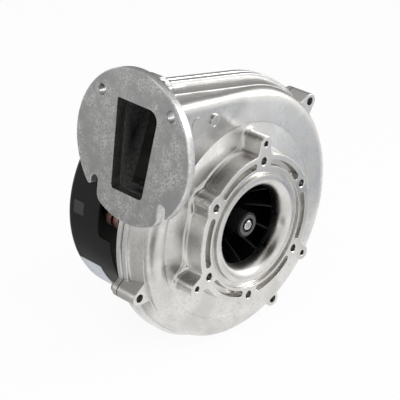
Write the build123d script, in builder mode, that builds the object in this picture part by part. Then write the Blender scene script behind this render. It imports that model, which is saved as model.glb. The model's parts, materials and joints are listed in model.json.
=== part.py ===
"""Centrifugal gas blower with a die-cast scroll housing.

Millimetres. +X is to the right and +Z is up for someone who looks into the inlet, and +Y runs
back along the shaft. The origin is on the shaft axis, in the front face of the inlet flange.
"""

import math
import os

from build123d import *

os.makedirs("parts", exist_ok=True)

# Inlet flange and nozzle
flange_radius = 62.5
inlet_bolt_circle = 115.0
inlet_bolt_count = 6
hole_angle = 30.0
inlet_hole_radius = 2.5
inlet_hole_sink = 3.7
inlet_hole_depth = 12.0
boss_floor = 3.0
hole_boss_radius = 6.6
wide_boss_radius = 9.2
wide_boss_angle = 150.0
foot_boss_circle = 130.0
ear_circle = 143.4
ear_count = 3
ear_angle = 90.0
ear_boss_radius = 6.3
ear_neck_radius = 7.4
ear_hole_radius = 2.0
ear_hole_sink = 2.9
ear_hole_depth = 14.0
kidney_radius = 55.2
kidney_width = 5.2
kidney_depth = 7.0
kidney_end_angle = 11.0
seal_groove_inner = 45.6
seal_groove_outer = 50.3
seal_groove_depth = 3.4
nozzle_lip_radius = 42.8
nozzle_depth = 11.0
throat_radius = 34.0
throat_length = 4.0
nozzle_wall = 2.5
nozzle_root = 2.0
hollow_front = 9.6
hollow_lip = 2.0
overlap = 1.0

# Scroll and outlet duct
barrel_end = 17.6
barrel_base = 1.6
barrel_wall = 4.9
shoulder_radius = 83.0
shoulder_inner_radius = 64.0
shoulder_edge = 20.1
face_station = 19.4
face_rounding = 8.6
ledge_station = 28.5
draft_station = 42.0
parting_station = 47.5
ledge_step = 3.0
draft_growth = 2.4
lip_growth = 5.3
housing_wall = 4.2
scroll_left = 96.5
scroll_bottom = 103.2
scroll_right = 109.2
scroll_top = 110.8
left_arc_radius = 100.0
duct_rise_angle = 3.9
duct_floor = 34.5
tongue_radius = 7.0
duct_flare_top = 15.0
duct_flare_bottom = 4.8
stamp_x = -47.5
stamp_z = 94.6
stamp_radius = 4.4
stamp_rise = 0.6
stamp_root = 1.5
scroll_chord_x = -58.0
duct_chord_x = -69.5

# Outlet flange
outlet_face = -113.0
outlet_flange_thickness = 7.0
outlet_flange_radius = 59.4
outlet_centre_y = 34.0
outlet_centre_z = 79.5
outlet_pattern_width = 73.0
outlet_pattern_height = 71.0
outlet_hole_radius = 3.2
outlet_hole_sink = 4.2
outlet_slot_radius = 3.3
port_front_top = 9.9
port_front_bottom = 19.6
port_back = 51.8
port_top = 112.2
port_floor = 42.2
port_large_corner = 8.0
port_small_corner = 3.5
port_tight_corner = 2.0

# Joint between the two housing halves
gasket_thickness = 0.8
gasket_inset = 1.0
rear_lip_thickness = 5.0
rear_pocket_depth = 3.7
rear_pan_rise = 2.8
rear_pan_draft = 1.2
shaft_passage_gap = 0.8
screw_boss_radius = 6.6
screw_web_radius = 11.0
screw_web_inset = 15.0
screw_hole_radius = 2.6
screw_radius = 2.45
screw_reach = 15.0
screw_head_radius = 4.6
screw_head_height = 3.4
screw_socket_radius = 2.5
screw_socket_depth = 2.0
rib_thickness = 3.0
rib_height = 2.6
rib_length = 34.0
rib_centre_x = -86.0
rib_heights = (56.0, 76.0, 96.0)

# Impeller
impeller_radius = 74.0
blade_count = 12
blade_start_angle = 10.0
blade_thickness = 1.6
blade_inner_radius = 22.0
blade_root_station = 36.0
blade_rim_gap = 0.4
blade_sweep = 16.0
blade_bow = 0.32
eye_radius = 38.2
shroud_thickness = 1.5
shroud_eye_station = 13.4
shroud_bend = 12.0
shroud_slope = 10.0
backplate_thickness = 2.0
backplate_back = 47.3
hub_radius = 10.4
hub_front = 10.2
hub_cone_radius = 19.0
hub_cone_station = 26.3
bush_radius = 8.9
bush_front = 9.4
bush_pocket_radius = 6.0
bush_pocket_depth = 2.3
bush_length = 26.0
weld_gap = 0.05

# Shaft and bearings
shaft_radius = 4.0
shaft_front = 9.0
shaft_end = 102.0
shaft_chamfer = 0.5
clip_groove_radius = 3.3
clip_station = 10.5
clip_thickness = 0.8
clip_radius = 5.4
clip_mouth = 3.2
fit_clearance = 0.02
bearing_outer_radius = 11.0
bearing_width = 7.0
bearing_front = 57.5
bearing_rear = 94.5
race_thickness = 2.4
ball_count = 7
ball_radius = 1.9
race_clearance = 0.05
cage_thickness = 1.2
cage_width = 2.3
spring_thickness = 0.4
spring_cone = 0.6
spring_inset = 0.4

# Shaft seal, motor brackets and mounts
seal_radius = 9.0
seal_gap = 0.1
seal_width = 2.6
bracket_plate_front = 59.0
bracket_plate_thickness = 3.5
bracket_radius = 46.0
bracket_hub_radius = 14.6
bracket_hub_front = 56.4
rear_plate_front = 97.4
rear_hub_front = 92.6
rear_hub_back = 104.0
bracket_seat_depth = 3.0
bracket_rim = 3.6
bearing_lip = 1.8
mount_circle = 116.0
mount_count = 3
mount_angle = 90.0
mount_thread_depth = 3.2
mount_radius = 6.6
mount_neck_radius = 4.2
mount_lug_radius = 8.0
mount_web_radius = 12.8
mount_web_inset = 22.0
mount_screw_radius = 2.0
mount_head_radius = 4.4
mount_head_height = 2.6
mount_top = 2.9
bolt_circle = 104.0
bolt_count = 3
bolt_angle = 30.0
bolt_radius = 2.0
bolt_lug_radius = 5.6
bolt_web_radius = 9.0
bolt_web_inset = 14.0
bolt_head_radius = 3.6
bolt_head_height = 2.8

# Stator and rotor
stator_front = 70.0
stator_back = 90.0
stator_radius = 44.0
stator_yoke = 4.6
tooth_count = 12
tooth_width = 5.0
pole_width = 9.2
pole_height = 2.4
air_gap = 0.8
magnet_radius = 24.5
magnet_thickness = 3.4
magnet_count = 4
magnet_gap_angle = 6.0
bobbin_wall = 0.7
coil_build = 2.9
coil_clearance = 0.1
coil_radial_gap = 0.8
lead_circle = 68.0
lead_count = 3
lead_angle = 0.0
lead_radius = 0.8
lead_hole_radius = 2.2

# Motor cover
cover_radius = 92.0
cover_front = 72.0
cover_back = 124.0
cover_wall = 2.5
cover_rounding = 7.0
window_depth = 13.5
window_span = 40.0
window_corner = 4.0
window_count = 3
window_angle = 170.0
window_cut_depth = 30.0
cover_recess_radius = 46.0
cover_recess_depth = 1.2
cover_boss_radius = 6.0
cover_boss_length = 5.5
cover_sink_radius = 4.2
cover_sink_depth = 5.0
cover_screw_radius = 1.9
cover_screw_head = 3.6
cover_screw_height = 2.6
cover_screw_length = 18.0
screw_play = 0.2

# Electronics
board_front = 106.0
board_thickness = 1.6
board_radius = 84.0
post_thread_depth = 12.0
post_circle = 148.0
post_radius = 3.6
post_angles = (40.0, 140.0, -80.0)
choke_angle = -174.0
choke_distance = 66.0
choke_standoff = 8.0
choke_radius = 8.2
choke_core_radius = 3.4
choke_flange = 1.0
choke_flange_lip = 0.3
choke_round = 1.9
choke_section = 7.2
choke_section_gap = 0.25
capacitor_radius = 8.5
capacitor_length = 24.0
capacitor_chamfer = 0.8
capacitor_distance = 62.0
capacitor_angles = (78.0, 98.0, 118.0)
heat_sink_fins = 5
heat_sink_length = 34.0
heat_sink_height = 18.0
heat_sink_pitch = 4.0
heat_sink_fin = 1.4
heat_sink_base = 3.0
heat_sink_angle = -48.0
heat_sink_distance = 58.0
socket_reach = 21.0
socket_height = 12.5
socket_wall = 1.3
socket_floor = 5.0
socket_proud = 0.8
socket_play = 0.3
socket_corner = 0.8
mains_socket_width = 22.0
mains_socket_z = 15.0
mains_pin_count = 3
mains_pin_pitch = 5.5
control_socket_width = 17.0
control_socket_z = -9.0
control_pin_count = 5
control_pin_pitch = 2.5
pin_width = 1.0
pin_length = 13.0
seat_gap = 0.2


def station(y):
    """Plane across the shaft at y, with +X to its right and +Z up."""
    return Plane(origin=(0, y, 0), x_dir=(1, 0, 0), z_dir=(0, -1, 0))


def polar(radius, angle):
    """Point (X, Z) at a radius and an angle in degrees about the shaft."""
    return radius * math.cos(math.radians(angle)), radius * math.sin(math.radians(angle))


def keep(piece, name):
    """Label a finished piece and write it to its own file."""
    piece.part.label = name
    export_step(piece.part, f"parts/{name}.step")


# Centres of the three arcs that make the scroll, from the four wall distances
left_centre = (left_arc_radius - scroll_left, left_arc_radius - scroll_bottom)
lower_radius = scroll_right - left_centre[0]
lower_centre = (left_centre[0], lower_radius - scroll_bottom)
upper_radius = scroll_top - lower_centre[1]
upper_centre = (scroll_right - upper_radius, lower_centre[1])
duct_end = outlet_face + outlet_flange_thickness
rise = math.radians(duct_rise_angle)


def top_line(grow, x):
    """Height of the duct's top edge at x, for an outline grown from the ledge line."""
    touch_x = upper_centre[0] + (upper_radius + grow) * math.sin(rise)
    touch_z = upper_centre[1] + (upper_radius + grow) * math.cos(rise)
    return touch_z + (touch_x - x) * math.tan(rise)


def tongue_point(grow):
    """Point where the duct's floor meets the left arc of the scroll."""
    z = duct_floor - grow
    half = math.sqrt((left_arc_radius + grow) ** 2 - (z - left_centre[1]) ** 2)
    return left_centre[0] - half, z


def outline(grow, end=duct_end):
    """Scroll and duct outline as a face.

    grow is the distance outside the ledge line, and end is where the duct is cut off.
    """
    tongue = tongue_point(grow)
    start = math.degrees(math.atan2(tongue[1] - left_centre[1], tongue[0] - left_centre[0]))
    touch_x = upper_centre[0] + (upper_radius + grow) * math.sin(rise)
    with BuildSketch() as drawn:
        with BuildLine():
            CenterArc(left_centre, left_arc_radius + grow, start, 270 - start)
            CenterArc(lower_centre, lower_radius + grow, 270, 90)
            CenterArc(upper_centre, upper_radius + grow, 0, 90 - duct_rise_angle)
            Polyline(
                (touch_x, top_line(grow, touch_x)),
                (end, top_line(grow, end)),
                (end, tongue[1]),
                tongue,
            )
        make_face()
    return drawn.sketch


def scroll_outline(grow):
    """Outline of the scroll alone, closed by a chord across the mouth of the duct."""
    tongue = tongue_point(grow)
    start = math.degrees(math.atan2(tongue[1] - left_centre[1], tongue[0] - left_centre[0]))
    touch_x = upper_centre[0] + (upper_radius + grow) * math.sin(rise)
    with BuildSketch() as drawn:
        with BuildLine():
            CenterArc(left_centre, left_arc_radius + grow, start, 270 - start)
            CenterArc(lower_centre, lower_radius + grow, 270, 90)
            CenterArc(upper_centre, upper_radius + grow, 0, 90 - duct_rise_angle)
            Polyline(
                (touch_x, top_line(grow, touch_x)),
                (scroll_chord_x, top_line(grow, scroll_chord_x)),
                tongue,
            )
        make_face()
    return drawn.sketch


def duct_outline(grow, end=duct_end):
    """Outline of the duct alone, with a slanted edge where it meets the scroll."""
    touch_x = upper_centre[0] + (upper_radius + grow) * math.sin(rise)
    floor = duct_floor - grow
    with BuildSketch() as drawn:
        with BuildLine():
            Polyline(
                (touch_x, top_line(grow, touch_x)),
                (end, top_line(grow, end)),
                (end, floor),
                (duct_chord_x, floor),
                close=True,
            )
        make_face()
    return drawn.sketch


# The duct's front wall is one flat face that leans forward towards the outlet flange
wall_grow = -ledge_step
flare_origin = (upper_centre[0], face_station, scroll_top)
flare_drop_z = (duct_flare_bottom - duct_flare_top) / (scroll_top - port_floor)
flare_drop_x = duct_flare_top / (upper_centre[0] - duct_end)
flare_plane = Plane(origin=flare_origin, z_dir=(-flare_drop_x, 1, -flare_drop_z))
inner_flare_plane = Plane(
    origin=(flare_origin[0], flare_origin[1] + housing_wall, flare_origin[2]),
    z_dir=(-flare_drop_x, 1, -flare_drop_z),
)
stamp_y = (
    face_station
    + flare_drop_x * (stamp_x - flare_origin[0])
    + flare_drop_z * (stamp_z - flare_origin[2])
)
stamp_plane = Plane(origin=(stamp_x, stamp_y + stamp_root, stamp_z), z_dir=-flare_plane.z_dir)

# Screw ears round the parting line, as (X, Z) of each hole
screw_places = (
    (82.9, 84.5),
    (66.5, -91.3),
    (-95.7, -46.1),
    (-81.0, 121.0),
    (-99.0, 27.0),
)


def teardrop(x, z, tip_radius, web_radius, web_inset):
    """Boss at (x, z) that widens towards the shaft, to a round web_inset further in."""
    reach = math.hypot(x, z)
    inner = (reach - web_inset) / reach
    with BuildSketch() as drawn:
        with Locations((x, z)):
            Circle(tip_radius)
        with Locations((x * inner, z * inner)):
            Circle(web_radius)
        make_hull()
    return drawn.sketch


def screw_ears(grow=0.0):
    """Teardrop ears that carry the housing screws."""
    with BuildSketch() as drawn:
        for x, z in screw_places:
            tip = screw_boss_radius + grow
            add(teardrop(x, z, tip, screw_web_radius + grow, screw_web_inset))
    return drawn.sketch


# One kidney pocket, from one bolt hole to the next
kidney_line = CenterArc(
    (0, 0), kidney_radius, kidney_end_angle, 360 / inlet_bolt_count - 2 * kidney_end_angle
)
with BuildSketch() as kidney:
    SlotArc(kidney_line, kidney_width)

# Port of the outlet flange, seen from outside, with its four corners rounded
with BuildSketch() as port:
    port_corners = (
        ((-port_front_top, port_top), port_large_corner),
        ((-port_front_bottom, port_floor), port_small_corner),
        ((-port_back, port_floor), port_tight_corner),
        ((-port_back, port_top), port_tight_corner),
    )
    with BuildLine():
        Polyline(*[corner for corner, _ in port_corners], close=True)
    make_face()
    for corner, radius in port_corners:
        fillet(port.vertices().sort_by_distance((*corner, 0))[0], radius=radius)

outlet_plane = Plane(
    origin=(outlet_face, outlet_centre_y, outlet_centre_z), x_dir=(0, -1, 0), z_dir=(-1, 0, 0)
)


# Front half of the housing
with BuildPart() as duct_body:
    with BuildSketch(station(0)):
        add(duct_outline(wall_grow))
    extrude(amount=-(ledge_station + overlap))
    split(bisect_by=flare_plane, keep=Keep.TOP)
    duct_top_edge = duct_body.faces().sort_by(Axis.Y)[0].edges().sort_by(Axis.Z)[-1]
    fillet(duct_top_edge, radius=face_rounding)

with BuildPart() as duct_hollow:
    with BuildSketch(station(0)):
        add(duct_outline(wall_grow - housing_wall, end=outlet_face + outlet_flange_thickness))
    extrude(amount=-parting_station)
    split(bisect_by=inner_flare_plane, keep=Keep.TOP)

with BuildPart() as front_housing:
    # Rounded front shell
    with BuildSketch(station(face_station)):
        add(scroll_outline(wall_grow))
    extrude(amount=-(ledge_station + overlap - face_station))
    fillet(front_housing.faces().sort_by(Axis.Y)[0].edges(), radius=face_rounding)
    add(duct_body.part)
    # Drafted wall behind the ledge
    with BuildSketch(station(ledge_station)):
        add(outline(0))
    with BuildSketch(station(draft_station)):
        add(outline(draft_growth))
    loft(ruled=True)
    with BuildSketch(station(draft_station)):
        add(outline(lip_growth))
    extrude(amount=-(parting_station - draft_station))
    with BuildSketch(station(ledge_station)):
        add(screw_ears())
    extrude(amount=-(parting_station - ledge_station))
    # Outlet flange
    with BuildSketch(Plane(origin=(duct_end, 0, 0), x_dir=(0, -1, 0), z_dir=(-1, 0, 0))):
        with Locations((-outlet_centre_y, outlet_centre_z)):
            Circle(outlet_flange_radius)
    extrude(amount=outlet_flange_thickness)
    # Scroll chamber and duct
    with BuildSketch(station(parting_station)) as chamber:
        add(outline(wall_grow - housing_wall))
        tip = chamber.vertices().sort_by_distance(
            (*tongue_point(wall_grow - housing_wall), 0)
        )[0]
        fillet(tip, radius=tongue_radius)
    extrude(amount=parting_station - face_station - housing_wall, mode=Mode.SUBTRACT)
    add(duct_hollow.part, mode=Mode.SUBTRACT)
    # Shoulder cone, sunk a little below the flat face, and the barrel in front of it
    with BuildSketch(Plane.XY):
        with BuildLine():
            Polyline(
                (0, -overlap),
                (shoulder_radius, -overlap),
                (shoulder_radius, shoulder_edge),
                (shoulder_inner_radius, barrel_end),
                (0, barrel_end),
                close=True,
            )
        make_face()
    revolve(axis=Axis.Y, mode=Mode.SUBTRACT)
    with BuildSketch(Plane.XY):
        with BuildLine():
            Polyline(
                (0, 0),
                (flange_radius, 0),
                (flange_radius, barrel_end - barrel_base),
                (shoulder_inner_radius, barrel_end),
                (shoulder_radius, shoulder_edge),
                (shoulder_radius, shoulder_edge + housing_wall),
                (0, shoulder_edge + housing_wall),
                close=True,
            )
        make_face()
    revolve(axis=Axis.Y)
    # Bosses of the bolt holes and the three ears, back to the shoulder
    with BuildSketch(station(0)):
        with PolarLocations(inlet_bolt_circle / 2, inlet_bolt_count, start_angle=hole_angle):
            Circle(hole_boss_radius)
        with PolarLocations(inlet_bolt_circle / 2, 1, start_angle=wide_boss_angle):
            Circle(wide_boss_radius)
        foot_inset = (foot_boss_circle - inlet_bolt_circle) / 2
        add(teardrop(0, -foot_boss_circle / 2, hole_boss_radius, ear_neck_radius, foot_inset))
        for index in range(ear_count):
            ear_x, ear_z = polar(ear_circle / 2, ear_angle + 360 / ear_count * index)
            ear_inset = (ear_circle - inlet_bolt_circle) / 2
            add(teardrop(ear_x, ear_z, ear_boss_radius, ear_neck_radius, ear_inset))
    extrude(amount=-shoulder_edge)
    # Hollow behind the nozzle, then the blind ends of the bolt bosses inside it
    with BuildSketch(Plane.XY):
        with BuildLine():
            Polyline(
                (0, hollow_front),
                (flange_radius - barrel_wall, hollow_front),
                (flange_radius - barrel_wall, barrel_end),
                (shoulder_inner_radius + hollow_lip, face_station + housing_wall),
                (shoulder_inner_radius + hollow_lip, parting_station),
                (0, parting_station),
                close=True,
            )
        make_face()
    revolve(axis=Axis.Y, mode=Mode.SUBTRACT)
    with BuildSketch(station(hollow_front - overlap)):
        with PolarLocations(inlet_bolt_circle / 2, inlet_bolt_count, start_angle=hole_angle):
            Circle(hole_boss_radius)
    extrude(amount=-(inlet_hole_depth + boss_floor - hollow_front + overlap))
    # Nozzle with its flared mouth
    with BuildSketch(Plane.XY):
        with BuildLine():
            EllipticalCenterArc(
                (nozzle_lip_radius, nozzle_depth),
                nozzle_lip_radius - throat_radius,
                nozzle_depth,
                start_angle=180,
                arc_size=90,
            )
            Polyline(
                (nozzle_lip_radius, 0),
                (seal_groove_inner, 0),
                (seal_groove_inner, hollow_front + overlap),
                (throat_radius + nozzle_wall + nozzle_root, hollow_front + overlap),
                (throat_radius + nozzle_wall, hollow_front + overlap + nozzle_root),
                (throat_radius + nozzle_wall, nozzle_depth + throat_length),
                (throat_radius, nozzle_depth + throat_length),
                (throat_radius, nozzle_depth),
            )
        make_face()
    revolve(axis=Axis.Y)
    with BuildSketch(Plane.XY):
        with BuildLine():
            EllipticalCenterArc(
                (nozzle_lip_radius, nozzle_depth),
                nozzle_lip_radius - throat_radius,
                nozzle_depth,
                start_angle=180,
                arc_size=90,
            )
            Polyline(
                (nozzle_lip_radius, 0),
                (nozzle_lip_radius, -overlap),
                (0, -overlap),
                (0, nozzle_depth + throat_length + overlap),
                (throat_radius, nozzle_depth + throat_length + overlap),
                (throat_radius, nozzle_depth),
            )
        make_face()
    revolve(axis=Axis.Y, mode=Mode.SUBTRACT)
    # Seal groove and the kidney pockets between the holes
    with BuildSketch(station(0)):
        Circle(seal_groove_outer)
        Circle(seal_groove_inner, mode=Mode.SUBTRACT)
    extrude(amount=-seal_groove_depth, mode=Mode.SUBTRACT)
    with BuildSketch(station(0)):
        with PolarLocations(0, inlet_bolt_count, start_angle=hole_angle):
            add(kidney.sketch)
    extrude(amount=-kidney_depth, mode=Mode.SUBTRACT)
    # Tapped holes of the flange and the ears
    with Locations(station(0)):
        with PolarLocations(inlet_bolt_circle / 2, inlet_bolt_count, start_angle=hole_angle):
            CounterSinkHole(inlet_hole_radius, inlet_hole_sink, depth=inlet_hole_depth)
        with PolarLocations(ear_circle / 2, ear_count, start_angle=ear_angle):
            CounterSinkHole(ear_hole_radius, ear_hole_sink, depth=ear_hole_depth)
    # Holes and slots of the outlet flange, and its port
    with Locations(outlet_plane):
        with GridLocations(outlet_pattern_width, 0, 2, 1):
            with Locations((0, outlet_pattern_height / 2)):
                CounterSinkHole(
                    outlet_hole_radius, outlet_hole_sink, depth=outlet_flange_thickness
                )
    with BuildSketch(outlet_plane):
        with GridLocations(outlet_pattern_width, 0, 2, 1):
            with Locations((0, -outlet_pattern_height / 2)):
                Circle(outlet_slot_radius)
                Rectangle(
                    2 * outlet_slot_radius,
                    outlet_flange_radius,
                    align=(Align.CENTER, Align.MAX),
                )
    extrude(amount=-outlet_flange_thickness, mode=Mode.SUBTRACT)
    with BuildSketch(Plane(origin=(outlet_face, 0, 0), x_dir=(0, -1, 0), z_dir=(-1, 0, 0))):
        add(port.sketch)
    extrude(amount=-(outlet_flange_thickness + overlap), mode=Mode.SUBTRACT)
    # Holes of the housing screws
    with Locations(station(ledge_station)):
        with Locations(*screw_places):
            Hole(screw_hole_radius, depth=parting_station - ledge_station)
    # Raised blank disc on the duct's front wall
    with BuildSketch(stamp_plane):
        Circle(stamp_radius)
    extrude(amount=stamp_rise + stamp_root)

keep(front_housing, "front_housing")

# Gasket between the halves
with BuildPart() as gasket:
    with BuildSketch(station(parting_station)):
        add(outline(lip_growth - gasket_inset))
        add(screw_ears(-gasket_inset))
        add(outline(wall_grow - housing_wall + gasket_inset, outlet_face), mode=Mode.SUBTRACT)
        with Locations(*screw_places):
            Circle(screw_hole_radius + gasket_inset / 2, mode=Mode.SUBTRACT)
    extrude(amount=-gasket_thickness)

keep(gasket, "housing_gasket")

# Rear half of the housing, with the scroll's shallow pocket in front
rear_front = parting_station + gasket_thickness
rear_lip_back = rear_front + rear_lip_thickness
rear_back = rear_lip_back + rear_pan_rise
mount_places = [
    polar(mount_circle / 2, mount_angle + 360 / mount_count * index)
    for index in range(mount_count)
]
post_places = [polar(post_circle / 2, angle) for angle in post_angles]
with BuildPart() as rear_housing:
    with BuildSketch(station(rear_front)):
        add(outline(lip_growth))
        add(screw_ears())
    extrude(amount=-rear_lip_thickness)
    with BuildSketch(station(rear_lip_back)):
        add(outline(0))
    with BuildSketch(station(rear_back)):
        add(outline(-rear_pan_draft))
    loft(ruled=True)
    with BuildSketch(station(rear_front)):
        add(outline(wall_grow - housing_wall, outlet_face))
    extrude(amount=-rear_pocket_depth, mode=Mode.SUBTRACT)
    # Ribs on the back of the duct
    with BuildSketch(station(rear_back)):
        for height in rib_heights:
            with Locations((rib_centre_x, height)):
                Rectangle(rib_length, rib_thickness)
    extrude(amount=-rib_height)
    # Shaft passage with the seal's seat behind it
    with Locations(station(rear_front)):
        Hole(shaft_radius + shaft_passage_gap)
        with Locations(*screw_places):
            Hole(screw_hole_radius)
    with BuildSketch(station(rear_back)):
        Circle(seal_radius + fit_clearance)
    extrude(amount=seal_width, mode=Mode.SUBTRACT)
    # Tapped holes of the motor mounts
    with BuildSketch(station(rear_back)):
        with Locations(*mount_places):
            Circle(mount_screw_radius + fit_clearance)
    extrude(amount=mount_thread_depth, mode=Mode.SUBTRACT)

keep(rear_housing, "rear_housing")

# Screws that hold the halves together, put in from behind
with BuildPart() as housing_screws:
    with BuildSketch(station(rear_lip_back)):
        with Locations(*screw_places):
            Circle(screw_head_radius)
    extrude(amount=-screw_head_height)
    with BuildSketch(station(rear_lip_back)):
        with Locations(*screw_places):
            Circle(screw_radius)
    extrude(amount=screw_reach)
    with BuildSketch(station(rear_lip_back + screw_head_height)):
        with Locations(*screw_places):
            RegularPolygon(screw_socket_radius, 6)
    extrude(amount=screw_socket_depth, mode=Mode.SUBTRACT)

keep(housing_screws, "housing_screws")

# Shaft seal in the rear half
with BuildPart() as shaft_seal:
    with BuildSketch(station(rear_back)):
        Circle(seal_radius)
        Circle(shaft_radius + seal_gap, mode=Mode.SUBTRACT)
    extrude(amount=seal_width)

keep(shaft_seal, "shaft_seal")


def shroud_points(shift):
    """Meridian of the impeller's front ring as (radius, Y) points, moved back by shift."""
    centre_x = eye_radius + shroud_thickness / 2 + shroud_bend
    bend = shroud_bend + shift
    slope = math.radians(shroud_slope)
    turn_x = centre_x - bend * math.sin(slope)
    turn_y = shroud_eye_station + bend * math.cos(slope)
    half = math.radians((180 + 90 + shroud_slope) / 2)
    mid = (centre_x + bend * math.cos(half), shroud_eye_station + bend * math.sin(half))
    rim_y = turn_y + (impeller_radius - turn_x) * math.tan(slope)
    eye = (centre_x - bend, shroud_eye_station)
    return eye, mid, (turn_x, turn_y), (impeller_radius, rim_y)


# Front ring of the impeller
with BuildPart() as impeller_shroud:
    with BuildSketch(Plane.XY):
        front_eye, front_mid, front_turn, front_rim = shroud_points(-shroud_thickness / 2)
        back_eye, back_mid, back_turn, back_rim = shroud_points(shroud_thickness / 2)
        with BuildLine():
            ThreePointArc(front_eye, front_mid, front_turn)
            Polyline(front_turn, front_rim, back_rim, back_turn)
            ThreePointArc(back_turn, back_mid, back_eye)
            Line(back_eye, front_eye)
        make_face()
    revolve(axis=Axis.Y)

keep(impeller_shroud, "impeller_shroud")

# Impeller: twelve backward-curved blades on a disc and hub moulded in one
blade_out = polar(impeller_radius - blade_rim_gap, -blade_sweep)
blade_mid = polar((blade_inner_radius + impeller_radius) / 2, -blade_sweep * blade_bow)
blade_line = ThreePointArc((blade_inner_radius, 0), blade_mid, blade_out)
disc_front = backplate_back - backplate_thickness
with BuildSketch() as blade:
    trace(blade_line, line_width=blade_thickness)
with BuildPart() as impeller:
    with BuildSketch(station(disc_front + backplate_thickness / 2)):
        with PolarLocations(0, blade_count, start_angle=blade_start_angle):
            add(blade.sketch)
    extrude(amount=disc_front)
    blade_eye, blade_bend, blade_turn, blade_rim = shroud_points(
        shroud_thickness / 2 + weld_gap
    )
    with BuildSketch(Plane.XY):
        with BuildLine():
            ThreePointArc(blade_eye, blade_bend, blade_turn)
            Polyline(
                blade_turn,
                blade_rim,
                (impeller_radius, backplate_back),
                (blade_inner_radius, backplate_back),
                (blade_inner_radius, blade_root_station),
                blade_eye,
            )
        make_face()
    revolve(axis=Axis.Y, mode=Mode.INTERSECT)
    with BuildSketch(Plane.XY):
        with BuildLine():
            Polyline(
                (hub_radius, hub_cone_station),
                (hub_radius, hub_front),
                (bush_radius + fit_clearance, hub_front),
                (bush_radius + fit_clearance, backplate_back),
                (impeller_radius, backplate_back),
                (impeller_radius, disc_front),
                (hub_cone_radius + hub_radius, disc_front),
            )
            RadiusArc(
                (hub_radius, hub_cone_station),
                (hub_cone_radius + hub_radius, disc_front),
                hub_cone_radius,
            )
        make_face()
    revolve(axis=Axis.Y)

keep(impeller, "impeller")


def ring(inner, outer, front, back):
    """Closed profile of a ring about the shaft, drawn as radius against Y."""
    with BuildSketch() as drawn:
        with Locations(((inner + outer) / 2, (front + back) / 2)):
            Rectangle(outer - inner, back - front)
    return drawn.sketch


# Metal bush in the hub, with a pocket in its nose for the shaft's clip
with BuildPart() as hub_bush:
    with BuildSketch(Plane.XY):
        add(ring(shaft_radius + fit_clearance, bush_radius, bush_front, bush_front + bush_length))
        add(
            ring(0, bush_pocket_radius, bush_front, bush_front + bush_pocket_depth),
            mode=Mode.SUBTRACT,
        )
    revolve(axis=Axis.Y)

keep(hub_bush, "hub_bush")

# Shaft with its clip groove
with BuildPart() as shaft:
    with BuildSketch(Plane.XY):
        with BuildLine():
            Polyline(
                (0, shaft_front),
                (shaft_radius - shaft_chamfer, shaft_front),
                (shaft_radius, shaft_front + shaft_chamfer),
                (shaft_radius, shaft_end - shaft_chamfer),
                (shaft_radius - shaft_chamfer, shaft_end),
                (0, shaft_end),
                close=True,
            )
        make_face()
        add(
            ring(clip_groove_radius, shaft_radius, clip_station, clip_station + clip_thickness),
            mode=Mode.SUBTRACT,
        )
    revolve(axis=Axis.Y)

keep(shaft, "shaft")

# Open retaining clip in the groove
with BuildPart() as shaft_clip:
    with BuildSketch(station(clip_station + fit_clearance)):
        Circle(clip_radius)
        Circle(clip_groove_radius + fit_clearance, mode=Mode.SUBTRACT)
        Rectangle(
            clip_mouth, clip_radius, align=(Align.CENTER, Align.MAX), mode=Mode.SUBTRACT
        )
    extrude(amount=-(clip_thickness - 2 * fit_clearance))

keep(shaft_clip, "shaft_clip")

# Ball bearings at both ends of the motor
pitch_radius = (shaft_radius + bearing_outer_radius) / 2
for bearing_name, bearing_start in (("front", bearing_front), ("rear", bearing_rear)):
    bearing_end = bearing_start + bearing_width
    bearing_middle = bearing_start + bearing_width / 2
    shoulder_in = shaft_radius + fit_clearance + race_thickness
    shoulder_out = bearing_outer_radius - race_thickness
    with BuildPart() as outer_race:
        with BuildSketch(Plane.XY):
            add(ring(shoulder_out, bearing_outer_radius, bearing_start, bearing_end))
            with Locations((pitch_radius, bearing_middle)):
                Circle(ball_radius + race_clearance, mode=Mode.SUBTRACT)
        revolve(axis=Axis.Y)
    keep(outer_race, f"{bearing_name}_bearing_outer")
    with BuildPart() as inner_race:
        with BuildSketch(Plane.XY):
            add(ring(shaft_radius + fit_clearance, shoulder_in, bearing_start, bearing_end))
            with Locations((pitch_radius, bearing_middle)):
                Circle(ball_radius + race_clearance, mode=Mode.SUBTRACT)
        revolve(axis=Axis.Y)
    keep(inner_race, f"{bearing_name}_bearing_inner")
    with BuildPart() as ball_set:
        with Locations(station(bearing_middle)):
            with PolarLocations(pitch_radius, ball_count):
                Sphere(ball_radius)
    keep(ball_set, f"{bearing_name}_bearing_balls")
    with BuildPart() as ball_cage:
        with BuildSketch(Plane.XY):
            add(
                ring(
                    pitch_radius - cage_thickness / 2,
                    pitch_radius + cage_thickness / 2,
                    bearing_middle,
                    bearing_middle + cage_width,
                )
            )
        revolve(axis=Axis.Y)
        with Locations(station(bearing_middle)):
            with PolarLocations(pitch_radius, ball_count):
                Sphere(ball_radius + race_clearance, mode=Mode.SUBTRACT)
    keep(ball_cage, f"{bearing_name}_bearing_cage")

# Preload spring between the rear bearing and its bracket
with BuildPart() as preload_spring:
    with BuildSketch(Plane.XY):
        spring_front = bearing_rear + bearing_width
        with BuildLine():
            Polyline(
                (bearing_outer_radius - race_thickness + spring_inset, spring_front + spring_cone),
                (bearing_outer_radius - spring_inset, spring_front),
                (bearing_outer_radius - spring_inset, spring_front + spring_thickness),
                (
                    bearing_outer_radius - race_thickness + spring_inset,
                    spring_front + spring_cone + spring_thickness,
                ),
                close=True,
            )
        make_face()
    revolve(axis=Axis.Y)

keep(preload_spring, "preload_spring")

bolt_places = [
    polar(bolt_circle / 2, bolt_angle + 360 / bolt_count * index) for index in range(bolt_count)
]
lead_places = [
    polar(lead_circle / 2, lead_angle + 360 / lead_count * index) for index in range(lead_count)
]

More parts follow.
